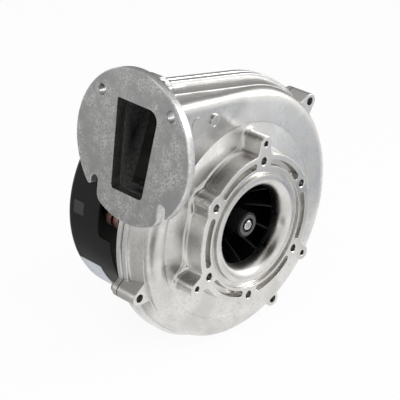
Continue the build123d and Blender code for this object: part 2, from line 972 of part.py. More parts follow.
# Front bracket of the motor, hung on the rubber mounts
plate_back = bracket_plate_front + bracket_plate_thickness
bearing_seat = bearing_outer_radius + fit_clearance
with BuildPart() as front_bracket:
    with BuildSketch(station(bracket_plate_front)):
        Circle(bracket_radius)
        for mount_x, mount_z in mount_places:
            add(teardrop(mount_x, mount_z, mount_lug_radius, mount_web_radius, mount_web_inset))
        for bolt_x, bolt_z in bolt_places:
            add(teardrop(bolt_x, bolt_z, bolt_lug_radius, bolt_web_radius, bolt_web_inset))
    extrude(amount=-bracket_plate_thickness)
    with BuildSketch(Plane.XY):
        add(ring(bearing_seat - bearing_lip, bracket_hub_radius, bracket_hub_front, plate_back))
        add(ring(bearing_seat, bracket_hub_radius, plate_back, bearing_front + bearing_width))
        add(
            ring(
                bracket_radius - bracket_rim,
                bracket_radius,
                plate_back,
                stator_front + bracket_seat_depth,
            )
        )
    revolve(axis=Axis.Y)
    with BuildSketch(Plane.XY):
        add(ring(0, bearing_seat - bearing_lip, bracket_hub_front, plate_back))
        add(ring(0, bearing_seat, bearing_front, plate_back))
        add(
            ring(0, stator_radius + fit_clearance, stator_front, stator_front + bracket_seat_depth)
        )
    revolve(axis=Axis.Y, mode=Mode.SUBTRACT)
    with BuildSketch(station(bracket_plate_front)):
        with Locations(*mount_places):
            Circle(mount_neck_radius + fit_clearance)
        with Locations(*bolt_places):
            Circle(bolt_radius + fit_clearance)
    extrude(amount=-bracket_plate_thickness, mode=Mode.SUBTRACT)

keep(front_bracket, "front_bracket")

# Rear bracket of the motor, drawn up to the front one by three bolts
rear_plate_back = rear_plate_front + bracket_plate_thickness
spring_seat = bearing_rear + bearing_width + spring_cone + spring_thickness
with BuildPart() as rear_bracket:
    with BuildSketch(station(rear_plate_front)):
        Circle(bracket_radius)
        for bolt_x, bolt_z in bolt_places:
            add(teardrop(bolt_x, bolt_z, bolt_lug_radius, bolt_web_radius, bolt_web_inset))
    extrude(amount=-bracket_plate_thickness)
    with BuildSketch(Plane.XY):
        add(ring(shaft_radius + bearing_lip, bracket_hub_radius, rear_hub_front, rear_hub_back))
        add(
            ring(
                bracket_radius - bracket_rim,
                bracket_radius,
                stator_back - bracket_seat_depth,
                rear_plate_front,
            )
        )
    revolve(axis=Axis.Y)
    with BuildSketch(Plane.XY):
        add(ring(0, bearing_seat, rear_hub_front, spring_seat))
        add(ring(0, stator_radius + fit_clearance, stator_back - bracket_seat_depth, stator_back))
        add(ring(0, shaft_radius + bearing_lip, spring_seat, rear_hub_back))
    revolve(axis=Axis.Y, mode=Mode.SUBTRACT)
    with BuildSketch(station(rear_plate_front)):
        with Locations(*bolt_places):
            Circle(bolt_radius + fit_clearance)
        with Locations(*lead_places):
            Circle(lead_hole_radius)
    extrude(amount=-bracket_plate_thickness, mode=Mode.SUBTRACT)

keep(rear_bracket, "rear_bracket")

# Bolts that clamp the stator between the brackets
with BuildPart() as bracket_bolts:
    with BuildSketch(station(bracket_plate_front)):
        with Locations(*bolt_places):
            Circle(bolt_radius)
    extrude(amount=-(rear_plate_back - bracket_plate_front))
    with BuildSketch(station(rear_plate_back)):
        with Locations(*bolt_places):
            RegularPolygon(bolt_head_radius, 6)
    extrude(amount=-bolt_head_height)

keep(bracket_bolts, "bracket_bolts")

# Rubber mounts between the housing and the motor, and their screws
with BuildPart() as rubber_mounts:
    with BuildSketch(station(rear_back)):
        with Locations(*mount_places):
            Circle(mount_radius)
    extrude(amount=-(bracket_plate_front - rear_back))
    with BuildSketch(station(bracket_plate_front)):
        with Locations(*mount_places):
            Circle(mount_neck_radius)
    extrude(amount=-bracket_plate_thickness)
    with BuildSketch(station(plate_back)):
        with Locations(*mount_places):
            Circle(mount_radius)
    extrude(amount=-mount_top)
    with BuildSketch(station(rear_back)):
        with Locations(*mount_places):
            Circle(mount_screw_radius + fit_clearance)
    extrude(amount=-(plate_back + mount_top - rear_back), mode=Mode.SUBTRACT)

keep(rubber_mounts, "rubber_mounts")

with BuildPart() as mount_screws:
    with BuildSketch(station(plate_back + mount_top)):
        with Locations(*mount_places):
            Circle(mount_head_radius)
    extrude(amount=-mount_head_height)
    with BuildSketch(station(plate_back + mount_top)):
        with Locations(*mount_places):
            Circle(mount_screw_radius)
    extrude(amount=plate_back + mount_top - rear_back + mount_thread_depth - seat_gap)

keep(mount_screws, "mount_screws")

# Laminated stator with twelve teeth
pole_radius = magnet_radius + air_gap
with BuildPart() as stator_core:
    with BuildSketch(station(stator_front)):
        Circle(stator_radius)
        Circle(stator_radius - stator_yoke, mode=Mode.SUBTRACT)
        with PolarLocations(0, tooth_count):
            with Locations((pole_radius + pole_height / 2, 0)):
                Rectangle(
                    stator_radius - stator_yoke - pole_radius + pole_height / 2,
                    tooth_width,
                    align=(Align.MIN, Align.CENTER),
                )
                Rectangle(pole_height, pole_width)
        Circle(pole_radius, mode=Mode.SUBTRACT)
    extrude(amount=-(stator_back - stator_front))

keep(stator_core, "stator_core")

# Bobbin and coil on each tooth
bobbin_inner = pole_radius + pole_height + coil_clearance
bobbin_outer = stator_radius - stator_yoke - coil_radial_gap
bobbin_length = bobbin_outer - bobbin_inner
core_length = stator_back - stator_front


def wound_frame(inner_margin, build):
    """Square-cornered ring that goes round every tooth, as a group of solids."""
    with BuildPart() as drawn:
        for step in range(tooth_count):
            out_x, out_z = polar(1, 360 / tooth_count * step)
            across = Plane(
                origin=(
                    bobbin_inner * out_x,
                    (stator_front + stator_back) / 2,
                    bobbin_inner * out_z,
                ),
                x_dir=(-out_z, 0, out_x),
                z_dir=(out_x, 0, out_z),
            )
            inner_width = tooth_width + 2 * inner_margin
            inner_height = core_length + 2 * inner_margin
            with BuildSketch(across):
                Rectangle(inner_width + 2 * build, inner_height + 2 * build)
                Rectangle(inner_width, inner_height, mode=Mode.SUBTRACT)
            extrude(amount=bobbin_length)
    return drawn


coil_bobbins = wound_frame(coil_clearance, bobbin_wall)
keep(coil_bobbins, "coil_bobbins")
stator_coils = wound_frame(bobbin_wall + 2 * coil_clearance, coil_build)
keep(stator_coils, "stator_coils")

# Winding leads that rise from the coils to the board
with BuildPart() as winding_leads:
    lead_front = stator_back + bobbin_wall + 2 * coil_clearance + coil_build + coil_clearance
    with BuildSketch(station(lead_front)):
        with Locations(*lead_places):
            Circle(lead_radius)
    extrude(amount=-(board_front - lead_front))

keep(winding_leads, "winding_leads")

# Rotor: laminated core and four magnets
rotor_radius = magnet_radius - magnet_thickness
with BuildPart() as rotor_core:
    with BuildSketch(station(stator_front)):
        Circle(rotor_radius)
        Circle(shaft_radius + fit_clearance, mode=Mode.SUBTRACT)
    extrude(amount=-core_length)

keep(rotor_core, "rotor_core")

magnet_angle = 360 / magnet_count - magnet_gap_angle
with BuildSketch() as magnet:
    with BuildLine():
        CenterArc((0, 0), magnet_radius, 0, magnet_angle)
        Line(polar(magnet_radius, magnet_angle), polar(rotor_radius + seat_gap / 2, magnet_angle))
        CenterArc((0, 0), rotor_radius + seat_gap / 2, 0, magnet_angle)
        Line((rotor_radius + seat_gap / 2, 0), (magnet_radius, 0))
    make_face()
with BuildPart() as rotor_magnets:
    with BuildSketch(station(stator_front)):
        with PolarLocations(0, magnet_count):
            add(magnet.sketch)
    extrude(amount=-core_length)

keep(rotor_magnets, "rotor_magnets")

# Posts that carry the board and the cover, and the spacers behind the board
board_back = board_front + board_thickness
cover_inner_back = cover_back - cover_wall
with BuildPart() as support_posts:
    with BuildSketch(station(rear_back)):
        with Locations(*post_places):
            RegularPolygon(post_radius, 6)
    extrude(amount=-(board_front - rear_back))
    with BuildSketch(station(board_front)):
        with Locations(*post_places):
            Circle(cover_screw_radius + fit_clearance)
    extrude(amount=post_thread_depth, mode=Mode.SUBTRACT)

keep(support_posts, "support_posts")

with BuildPart() as board_spacers:
    with BuildSketch(station(board_back)):
        with Locations(*post_places):
            Circle(post_radius)
            Circle(cover_screw_radius + fit_clearance, mode=Mode.SUBTRACT)
    extrude(amount=-(cover_inner_back - cover_boss_length - board_back))

keep(board_spacers, "board_spacers")

# Circuit board
with BuildPart() as circuit_board:
    with BuildSketch(station(board_front)):
        Circle(board_radius)
        with Locations(*post_places):
            Circle(cover_screw_radius + fit_clearance, mode=Mode.SUBTRACT)
    extrude(amount=-board_thickness)

keep(circuit_board, "circuit_board")

# Line choke on the board: a flanged former with two copper windings
choke_x, choke_z = polar(choke_distance, choke_angle)
choke_length = 2 * choke_section + 3 * choke_flange
choke_back = board_front - choke_standoff
with BuildPart() as choke_former:
    with BuildSketch(station(board_front)):
        with Locations((choke_x, choke_z)):
            Circle(choke_core_radius)
    extrude(amount=choke_standoff + choke_length)
    for flange_index in range(3):
        start = choke_back - flange_index * (choke_section + choke_flange)
        with BuildSketch(station(start)):
            with Locations((choke_x, choke_z)):
                Circle(choke_radius + choke_flange_lip)
        extrude(amount=choke_flange)

keep(choke_former, "choke_former")

with BuildPart() as choke_windings:
    for winding_index in range(2):
        middle = choke_back - choke_flange - choke_section / 2
        middle -= winding_index * (choke_section + choke_flange)
        with BuildSketch(Plane(origin=(choke_x, middle, choke_z))):
            with Locations(((choke_core_radius + choke_radius) / 2 + fit_clearance, 0)):
                winding_profile = Rectangle(
                    choke_radius - choke_core_radius, choke_section - 2 * choke_section_gap
                )
            chamfer(winding_profile.vertices().group_by(Axis.X)[-1], length=choke_round)
        revolve(axis=Axis((choke_x, 0, choke_z), (0, 1, 0)))

keep(choke_windings, "choke_windings")

# Smoothing capacitors
with BuildPart() as capacitors:
    with BuildSketch(station(board_front)):
        for angle in capacitor_angles:
            with Locations(polar(capacitor_distance, angle)):
                Circle(capacitor_radius)
    extrude(amount=capacitor_length)
    chamfer(capacitors.faces().sort_by(Axis.Y)[: len(capacitor_angles)].edges(), length=capacitor_chamfer)

keep(capacitors, "capacitors")

# Finned heat sink on the board
with BuildPart() as heat_sink:
    sink_depth = (heat_sink_fins - 1) * heat_sink_pitch + heat_sink_fin
    with BuildSketch(station(board_front)):
        with Locations(Rotation(0, 0, heat_sink_angle)):
            with Locations((heat_sink_distance + sink_depth / 2, 0)):
                Rectangle(sink_depth, heat_sink_length)
    extrude(amount=heat_sink_base)
    with BuildSketch(station(board_front - heat_sink_base)):
        with Locations(Rotation(0, 0, heat_sink_angle)):
            for fin_index in range(heat_sink_fins):
                fin_place = heat_sink_distance + heat_sink_fin / 2 + fin_index * heat_sink_pitch
                with Locations((fin_place, 0)):
                    Rectangle(heat_sink_fin, heat_sink_length)
    extrude(amount=heat_sink_height - heat_sink_base)

keep(heat_sink, "heat_sink")

# Connector sockets on the board's right edge, open outwards through the cover
socket_outer = cover_radius + socket_proud
socket_inner = socket_outer - socket_reach
socket_middle = board_front - socket_height / 2


def socket(centre_z, width):
    """Open-fronted connector shroud whose mouth faces +X."""
    with BuildPart() as drawn:
        mouth = Plane(origin=(socket_outer, socket_middle, centre_z), x_dir=(0, 1, 0), z_dir=(1, 0, 0))
        with BuildSketch(mouth):
            RectangleRounded(socket_height, width, socket_corner)
        extrude(amount=-socket_reach)
        with BuildSketch(mouth):
            Rectangle(socket_height - 2 * socket_wall, width - 2 * socket_wall)
        extrude(amount=-(socket_reach - socket_floor), mode=Mode.SUBTRACT)
    return drawn


def socket_pins(centre_z, count, pitch):
    """Row of square pins that stand in a socket's floor."""
    with BuildPart() as drawn:
        floor = Plane(
            origin=(socket_inner + socket_floor, socket_middle, centre_z),
            x_dir=(0, 1, 0),
            z_dir=(1, 0, 0),
        )
        with BuildSketch(floor):
            with GridLocations(0, pitch, 1, count):
                Rectangle(pin_width, pin_width)
        extrude(amount=pin_length)
    return drawn


keep(socket(mains_socket_z, mains_socket_width), "mains_socket")
keep(socket_pins(mains_socket_z, mains_pin_count, mains_pin_pitch), "mains_pins")
keep(socket(control_socket_z, control_socket_width), "control_socket")
keep(socket_pins(control_socket_z, control_pin_count, control_pin_pitch), "control_pins")

# Moulded cover over the motor and the board
with BuildPart() as motor_cover:
    with BuildSketch(station(cover_front)):
        Circle(cover_radius)
    extrude(amount=-(cover_back - cover_front))
    fillet(motor_cover.faces().sort_by(Axis.Y)[-1].edges(), radius=cover_rounding)
    offset(amount=-cover_wall, openings=motor_cover.faces().sort_by(Axis.Y)[0])
    # Screw bosses inside, sunk from behind
    with BuildSketch(station(cover_inner_back - cover_boss_length)):
        with Locations(*post_places):
            Circle(cover_boss_radius)
    extrude(amount=-(cover_boss_length + cover_wall / 2))
    with BuildSketch(station(cover_back)):
        Circle(cover_recess_radius)
    extrude(amount=cover_recess_depth, mode=Mode.SUBTRACT)
    with BuildSketch(station(cover_back)):
        with Locations(*post_places):
            Circle(cover_sink_radius)
    extrude(amount=cover_sink_depth, mode=Mode.SUBTRACT)
    with BuildSketch(station(cover_back)):
        with Locations(*post_places):
            Circle(cover_screw_radius + screw_play)
    extrude(amount=cover_wall + cover_boss_length, mode=Mode.SUBTRACT)
    # Windows in the rim
    for window_index in range(window_count):
        turn = math.radians(window_angle + 360 / window_count * window_index)
        face_out = Plane(
            origin=(
                (cover_radius + overlap) * math.cos(turn),
                cover_front,
                (cover_radius + overlap) * math.sin(turn),
            ),
            x_dir=(-math.sin(turn), 0, math.cos(turn)),
            z_dir=(math.cos(turn), 0, math.sin(turn)),
        )
        window_width = 2 * cover_radius * math.sin(math.radians(window_span / 2))
        with BuildSketch(face_out):
            RectangleRounded(window_width, 2 * window_depth, window_corner)
        extrude(amount=-window_cut_depth, mode=Mode.SUBTRACT)
    # Cut-outs for the two sockets
    for socket_z, socket_width in (
        (mains_socket_z, mains_socket_width),
        (control_socket_z, control_socket_width),
    ):
        cut = Plane(origin=(socket_outer, socket_middle, socket_z), x_dir=(0, 1, 0), z_dir=(1, 0, 0))
        with BuildSketch(cut):
            Rectangle(socket_height + 2 * socket_play, socket_width + 2 * socket_play)
        extrude(amount=-socket_reach, mode=Mode.SUBTRACT)

keep(motor_cover, "motor_cover")

# Screws of the cover, sunk in its back
with BuildPart() as cover_screws:
    screw_seat = cover_back - cover_sink_depth
    with BuildSketch(station(screw_seat)):
        with Locations(*post_places):
            Circle(cover_screw_head)
    extrude(amount=-cover_screw_height)
    with BuildSketch(station(screw_seat)):
        with Locations(*post_places):
            Circle(cover_screw_radius)
    extrude(amount=cover_screw_length)

keep(cover_screws, "cover_screws")
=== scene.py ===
"""Looks of a centrifugal gas blower with a die-cast scroll housing.

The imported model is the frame: +X right and +Z up for someone who looks into the inlet, +Y back
along the shaft. Sizes in the classes are millimetres, meshes are metres.
"""

import enum
import json
import logging
import math
from dataclasses import dataclass, field

import bmesh
import bpy
import numpy as np
from mathutils import Matrix, Vector
from mathutils.geometry import tessellate_polygon

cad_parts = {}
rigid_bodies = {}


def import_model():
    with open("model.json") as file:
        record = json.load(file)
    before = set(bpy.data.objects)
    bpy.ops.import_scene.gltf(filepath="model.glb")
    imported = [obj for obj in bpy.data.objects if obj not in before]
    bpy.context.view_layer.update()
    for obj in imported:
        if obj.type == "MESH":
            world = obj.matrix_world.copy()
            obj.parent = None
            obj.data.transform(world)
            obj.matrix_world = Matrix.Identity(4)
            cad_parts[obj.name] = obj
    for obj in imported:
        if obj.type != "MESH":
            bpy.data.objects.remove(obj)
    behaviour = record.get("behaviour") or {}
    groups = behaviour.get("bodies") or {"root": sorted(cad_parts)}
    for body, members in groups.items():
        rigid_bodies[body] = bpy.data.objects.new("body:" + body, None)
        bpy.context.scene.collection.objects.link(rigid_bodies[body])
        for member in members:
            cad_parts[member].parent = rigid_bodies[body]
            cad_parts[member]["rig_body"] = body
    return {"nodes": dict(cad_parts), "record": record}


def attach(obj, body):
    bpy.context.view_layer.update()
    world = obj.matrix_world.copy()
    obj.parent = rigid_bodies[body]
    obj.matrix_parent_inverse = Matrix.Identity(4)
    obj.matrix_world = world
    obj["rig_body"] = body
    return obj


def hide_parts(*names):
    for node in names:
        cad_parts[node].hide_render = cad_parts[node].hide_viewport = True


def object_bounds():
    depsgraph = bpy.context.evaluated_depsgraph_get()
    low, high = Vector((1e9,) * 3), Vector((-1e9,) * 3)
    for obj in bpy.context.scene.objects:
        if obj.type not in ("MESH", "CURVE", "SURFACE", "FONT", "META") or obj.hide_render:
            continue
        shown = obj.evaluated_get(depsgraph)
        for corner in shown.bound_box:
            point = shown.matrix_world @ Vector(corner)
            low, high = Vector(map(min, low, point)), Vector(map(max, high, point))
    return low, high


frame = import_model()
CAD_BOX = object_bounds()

LOG = logging.getLogger("blower")
MM = 0.001
TURN = 2 * math.pi
PIECE_CREASE = 32.0
COPY_CREASE = 42.0
FLAT_LIMIT = 0.6
BEVEL_LIMIT = 40
COAT_ROUGHNESS = 0.08
SPECK_SHARE = 0.6


# Numpy shapes


def polar(radius: float, degrees: float) -> np.ndarray:
    """Point (X, Z) at a radius and an angle in degrees about the shaft."""
    angle = math.radians(degrees)
    return np.array([radius * math.cos(angle), radius * math.sin(angle)])


def rounded(corners: list[tuple[float, float]], radii: list[float], steps: int = 5) -> np.ndarray:
    """Open line whose inner corners are swapped for arcs.

    Each arc's centre lies on the corner's bisector, its radius over the sine of the half angle
    away, and its points turn evenly from one tangent point to the other.

    Args:
        corners: points of the line.
        radii: radius at each corner, 0 to keep it sharp; the two ends are not rounded.
        steps: spans in each arc.

    Returns:
        Array (n, 2) of points.
    """
    line = np.asarray(corners, float)
    parts = [line[:1]]
    for before, corner, after, radius in zip(line[:-2], line[1:-1], line[2:], radii[1:-1]):
        if radius <= 0:
            parts.append(corner[None])
            continue
        come = (before - corner) / np.linalg.norm(before - corner)
        leave = (after - corner) / np.linalg.norm(after - corner)
        half = math.acos(float(np.clip(come @ leave, -1, 1))) / 2
        middle = (come + leave) / np.linalg.norm(come + leave)
        centre = corner + middle * radius / math.sin(half)
        first = corner + come * radius / math.tan(half) - centre
        last = corner + leave * radius / math.tan(half) - centre
        sweep = math.atan2(first[0] * last[1] - first[1] * last[0], float(first @ last))
        turn = np.linspace(0, sweep, steps + 1)[:, None]
        across = np.array([-first[1], first[0]])
        parts.append(centre + first * np.cos(turn) + across * np.sin(turn))
    parts.append(line[-1:])
    return np.vstack(parts)


def resample(loop: np.ndarray, count: int) -> np.ndarray:
    """Closed loop (n, 2) laid out again as count points, evenly spaced by arc length."""
    closed = np.vstack([loop, loop[:1]])
    length = np.concatenate([[0], np.cumsum(np.linalg.norm(np.diff(closed, axis=0), axis=1))])
    at = np.linspace(0, length[-1], count, endpoint=False)
    return np.stack([np.interp(at, length, closed[:, i]) for i in range(2)], axis=1)


def outward(loop: np.ndarray) -> np.ndarray:
    """Unit normals of an anticlockwise closed loop (n, 2), pointing out of it."""
    along = np.roll(loop, -1, axis=0) - np.roll(loop, 1, axis=0)
    normal = np.stack([along[:, 1], -along[:, 0]], axis=1)
    return normal / np.linalg.norm(normal, axis=1, keepdims=True)


def hull_loop(tip: float, web: float, reach: float, turn: float, count: int) -> np.ndarray:
    """Outline of a round tip and a wider round web behind it, with straight flanks.

    The flanks touch both rounds where the normal makes arccos((web - tip) / reach) with the
    outward direction, so each round gives one arc and the flanks close the loop by themselves.

    Args:
        tip: radius at the tip, whose centre is the origin of the loop.
        web: radius of the round further in.
        reach: distance between the two centres.
        turn: outward direction in radians.
        count: number of points.

    Returns:
        Array (count, 2), anticlockwise.
    """
    limit = math.acos((web - tip) / reach)
    near = np.linspace(-limit, limit, 60)
    far = np.linspace(limit, TURN - limit, 90)
    outer = tip * np.stack([np.cos(near), np.sin(near)], axis=1)
    inner = web * np.stack([np.cos(far), np.sin(far)], axis=1) - [reach, 0]
    loop = resample(np.vstack([outer, inner]), count)
    spin = np.array([[math.cos(turn), math.sin(turn)], [-math.sin(turn), math.cos(turn)]])
    return loop @ spin


def polygon_loop(corners: list[tuple[float, float]], radii: list[float], count: int) -> np.ndarray:
    """Closed polygon with rounded corners, as count evenly spaced points."""
    ring = [corners[-1], *corners, corners[0]]
    line = rounded(ring, [0, *radii, 0], 10)[1:-1]
    return resample(line, count)


def revolved(
    profile: np.ndarray, count: int, centre: tuple[float, float] = (0.0, 0.0)
) -> np.ndarray:
    """Profile (n, 2) of radius and Y, turned about an axis along Y: x = r cos t, z = r sin t."""
    turn = np.linspace(0, TURN, count, endpoint=False)
    radius, along = profile[:, 0, None], profile[:, 1, None]
    x = centre[0] + radius * np.cos(turn)
    z = centre[1] + radius * np.sin(turn)
    return np.stack([x, along + 0 * turn, z], axis=-1)


def raised(loops: np.ndarray, heights: np.ndarray) -> np.ndarray:
    """Loops (m, n, 2) in X and Z set at heights along Y, which are (m,) or (m, n)."""
    level = np.broadcast_to(heights if heights.ndim == 2 else heights[:, None], loops.shape[:2])
    return np.stack([loops[..., 0], level, loops[..., 1]], axis=-1)


def bar_distance(
    place: np.ndarray, start: np.ndarray, end: np.ndarray, neck: float, tip: float
) -> np.ndarray:
    """Signed distance from points to a round-ended bar that narrows from its neck to its tip."""
    along = end - start
    share = np.clip((place - start) @ along / (along @ along), 0, 1)
    return np.linalg.norm(place - start - share[..., None] * along, axis=-1) - (
        neck + (tip - neck) * share
    )


def joined(first: np.ndarray, second: np.ndarray, blend: float) -> np.ndarray:
    """Smaller of two distances, eased by blend / 4 where they are equal and less beside it."""
    share = np.maximum(blend - np.abs(first - second), 0) / blend
    return np.minimum(first, second) - share * share * blend / 4


def quarter(steps: int) -> np.ndarray:
    """Angles of a quarter turn, 0 and the right angle among them."""
    return np.linspace(0, math.pi / 2, steps + 1)


class Surface:
    """Gathers numpy patches in millimetres and makes one mesh of them."""

    def __init__(self) -> None:
        """Start with no patches."""
        self.points: list[np.ndarray] = []
        self.faces: list[list[int]] = []
        self.wear: list[np.ndarray] = []
        self.count = 0

    def grid(
        self,
        points: np.ndarray,
        close_rows: bool = False,
        keep: np.ndarray | None = None,
        wear: np.ndarray | None = None,
    ) -> "Surface":
        """Add a patch of quads between neighbouring rows, each row closed in itself.

        Args:
            points: array (rows, columns, 3).
            close_rows: join the last row to the first.
            keep: mask of the quads to make, (row spans, columns).
            wear: edge wear from 0 to 1 at each point, (rows, columns).

        Returns:
            The surface itself.
        """
        rows, columns = points.shape[:2]
        index = np.arange(rows * columns).reshape(rows, columns) + self.count
        if close_rows:
            index = np.vstack([index, index[:1]])
        index = np.hstack([index, index[:, :1]])
        quads = np.stack([index[:-1, :-1], index[:-1, 1:], index[1:, 1:], index[1:, :-1]], -1)
        if keep is not None:
            quads = quads[keep]
        self.points.append(points.reshape(-1, 3))
        self.wear.append(np.zeros(rows * columns) if wear is None else wear.reshape(-1))
        self.faces += quads.reshape(-1, 4).tolist()
        self.count += rows * columns
        return self

    def capped(self, points: np.ndarray, wear: np.ndarray | None = None) -> "Surface":
        """Add a grid of closed rows whose first and last rows are drawn together at a point."""
        first = np.broadcast_to(points[0].mean(axis=0), points[:1].shape)
        last = np.broadcast_to(points[-1].mean(axis=0), points[:1].shape)
        full = np.concatenate([first, points, last])
        worn = None if wear is None else np.vstack([0 * wear[:1], wear, 0 * wear[:1]])
        return self.grid(full, wear=worn)

    def cup(self, points: np.ndarray) -> "Surface":
        """Add a grid of closed rows of which only the last is drawn together at a point."""
        last = np.broadcast_to(points[-1].mean(axis=0), points[:1].shape)
        return self.grid(np.concatenate([points, last]))

    def fill(self, loops: list[np.ndarray]) -> "Surface":
        """Fill with triangles the flat region inside the first loop and outside the others."""
        corners = [[Vector(point) for point in loop.tolist()] for loop in loops]
        self.faces += [[self.count + i for i in face] for face in tessellate_polygon(corners)]
        points = np.vstack(loops)
        self.points.append(points)
        self.wear.append(np.zeros(len(points)))
        self.count += len(points)
        return self

    def add(self, other: "Surface") -> "Surface":
        """Take in the patches of another surface."""
        self.faces += [[index + self.count for index in face] for face in other.faces]
        self.points += other.points
        self.wear += other.wear
        self.count += other.count
        return self

    def mesh(self, name: str) -> bpy.types.Mesh:
        """Make the mesh, with doubles merged and normals outwards."""
        mesh = bpy.data.meshes.new(name)
        mesh.from_pydata((np.vstack(self.points) * MM).tolist(), [], self.faces)
        layer = mesh.attributes.new("wear", "FLOAT", "POINT")
        layer.data.foreach_set("value", np.concatenate(self.wear).astype(np.float32))
        work = bmesh.new()
        work.from_mesh(mesh)
        bmesh.ops.remove_doubles(work, verts=work.verts, dist=2e-6)
        bmesh.ops.dissolve_degenerate(work, dist=1e-7, edges=work.edges)
        bmesh.ops.recalc_face_normals(work, faces=work.faces)
        work.to_mesh(mesh)
        work.free()
        return mesh


class Body(enum.Enum):
    """Bodies of the frame that the surfaces of this file ride on."""

    HOUSING = "housing"
    ROTOR = "rotor"


def finished(
    surface: Surface,
    name: str,
    body: Body,
    material: bpy.types.Material,
    nodes: tuple[str, ...] = (),
    cutter: Surface | None = None,
) -> bpy.types.Object:
    """Make a piece of a surface, cut it, shade it and tie it to the frame.

    Args:
        surface: closed shape of the piece.
        name: name of the object.
        body: body that it rides on.
        material: its finish.
        nodes: CAD nodes that it stands for.
        cutter: closed shapes taken away from it.

    Returns:
        The object.
    """
    piece = bpy.data.objects.new(name, surface.mesh(name))
    bpy.context.scene.collection.objects.link(piece)
    if cutter is not None:
        tool = bpy.data.objects.new(name + "_cutter", cutter.mesh(name + "_cutter"))
        bpy.context.scene.collection.objects.link(tool)
        cut = piece.modifiers.new("cut", "BOOLEAN")
        cut.solver = "EXACT"
        cut.object = tool
        graph = bpy.context.evaluated_depsgraph_get()
        carved = bpy.data.meshes.new_from_object(piece.evaluated_get(graph))
        piece.modifiers.clear()
        piece.data = carved
        piece.data.name = name
        bpy.data.objects.remove(tool)
    smooth(piece, PIECE_CREASE)
    piece.data.materials.clear()
    piece.data.materials.append(material)
    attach(piece, body.value)
    if nodes:
        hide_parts(*nodes)
    LOG.info("%s: %d points", name, len(piece.data.vertices))
    return piece


def smooth(piece: bpy.types.Object, crease: float) -> None:
    """Shade smooth below a crease angle in degrees, weighted so that flat faces stay flat."""
    piece.data.polygons.foreach_set("use_smooth", [True] * len(piece.data.polygons))
    piece.data.set_sharp_from_angle(angle=math.radians(crease))
    weigh = piece.modifiers.new("flats", "WEIGHTED_NORMAL")
    weigh.keep_sharp = True
    weigh.weight = 80


def merged_copy(
    node: str, name: str, material: bpy.types.Material, edge: float
) -> bpy.types.Object:
    """Copy of a CAD node with merged points and softened edges, standing for the node.

    Args:
        node: CAD node.
        name: name of the new piece.
        material: its finish.
        edge: width of the bevel in millimetres.

    Returns:
        The object.
    """
    source = frame["nodes"][node]
    mesh = source.data.copy()
    mesh.name = name
    work = bmesh.new()
    work.from_mesh(mesh)
    bmesh.ops.remove_doubles(work, verts=work.verts, dist=1e-6)
    flat = math.radians(FLAT_LIMIT)
    bmesh.ops.dissolve_limit(work, angle_limit=flat, verts=work.verts, edges=work.edges)
    work.to_mesh(mesh)
    work.free()
    piece = bpy.data.objects.new(name, mesh)
    bpy.context.scene.collection.objects.link(piece)
    bevel = piece.modifiers.new("edges", "BEVEL")
    bevel.width = edge * MM
    bevel.segments = 2
    bevel.limit_method = "ANGLE"
    bevel.angle_limit = math.radians(BEVEL_LIMIT)
    smooth(piece, COPY_CREASE)
    mesh.materials.clear()
    mesh.materials.append(material)
    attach(piece, source["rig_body"])
    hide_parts(node)
    return piece


# Shader groups


class Group:
    """A shader node group under construction."""

    def __init__(self, name: str, inputs: dict[str, float], outputs: dict[str, str]) -> None:
        """Make the group with float inputs and named outputs.

        Args:
            name: name of the group.
            inputs: default of each float input.
            outputs: socket type of each output.
        """
        self.tree = bpy.data.node_groups.new(name, "ShaderNodeTree")
        for label, value in inputs.items():
            socket = self.tree.interface.new_socket(
                label, in_out="INPUT", socket_type="NodeSocketFloat"
            )
            socket.default_value = value
        for label, kind in outputs.items():
            self.tree.interface.new_socket(label, in_out="OUTPUT", socket_type=kind)
        self.start = self.tree.nodes.new("NodeGroupInput")
        self.end = self.tree.nodes.new("NodeGroupOutput")

    def node(self, kind: str, **settings: object) -> bpy.types.Node:
        """Add a node with its settings."""
        made = self.tree.nodes.new(kind)
        for label, value in settings.items():
            setattr(made, label, value)
        return made

    def link(self, source: bpy.types.NodeSocket, target: bpy.types.NodeSocket) -> None:
        """Join two sockets."""
        self.tree.links.new(source, target)

    def math(self, operation: str, first: object, second: object = 0.0) -> bpy.types.NodeSocket:
        """Add a Math node fed by sockets or numbers and return its output."""
        made = self.node("ShaderNodeMath", operation=operation)
        for slot, value in zip(made.inputs, (first, second)):
            if isinstance(value, (int, float)):
                slot.default_value = value
            else:
                self.link(value, slot)
        return made.outputs[0]

    def noise(self, scale: object, detail: float, vector: object) -> bpy.types.NodeSocket:
        """Add a noise texture on a vector and return its factor."""
        made = self.node("ShaderNodeTexNoise")
        made.inputs["Detail"].default_value = detail
        if isinstance(scale, (int, float)):
            made.inputs["Scale"].default_value = scale
        else:
            self.link(scale, made.inputs["Scale"])
        self.link(vector, made.inputs["Vector"])
        return made.outputs["Fac"]

    def spread(self, value: object, low: float, high: float) -> bpy.types.NodeSocket:
        """Stretch the range low to high over 0 to 1, clamped and smooth."""
        made = self.node("ShaderNodeMapRange", interpolation_type="SMOOTHSTEP")
        made.inputs["From Min"].default_value = low
        made.inputs["From Max"].default_value = high
        self.link(value, made.inputs["Value"])
        return made.outputs["Result"]


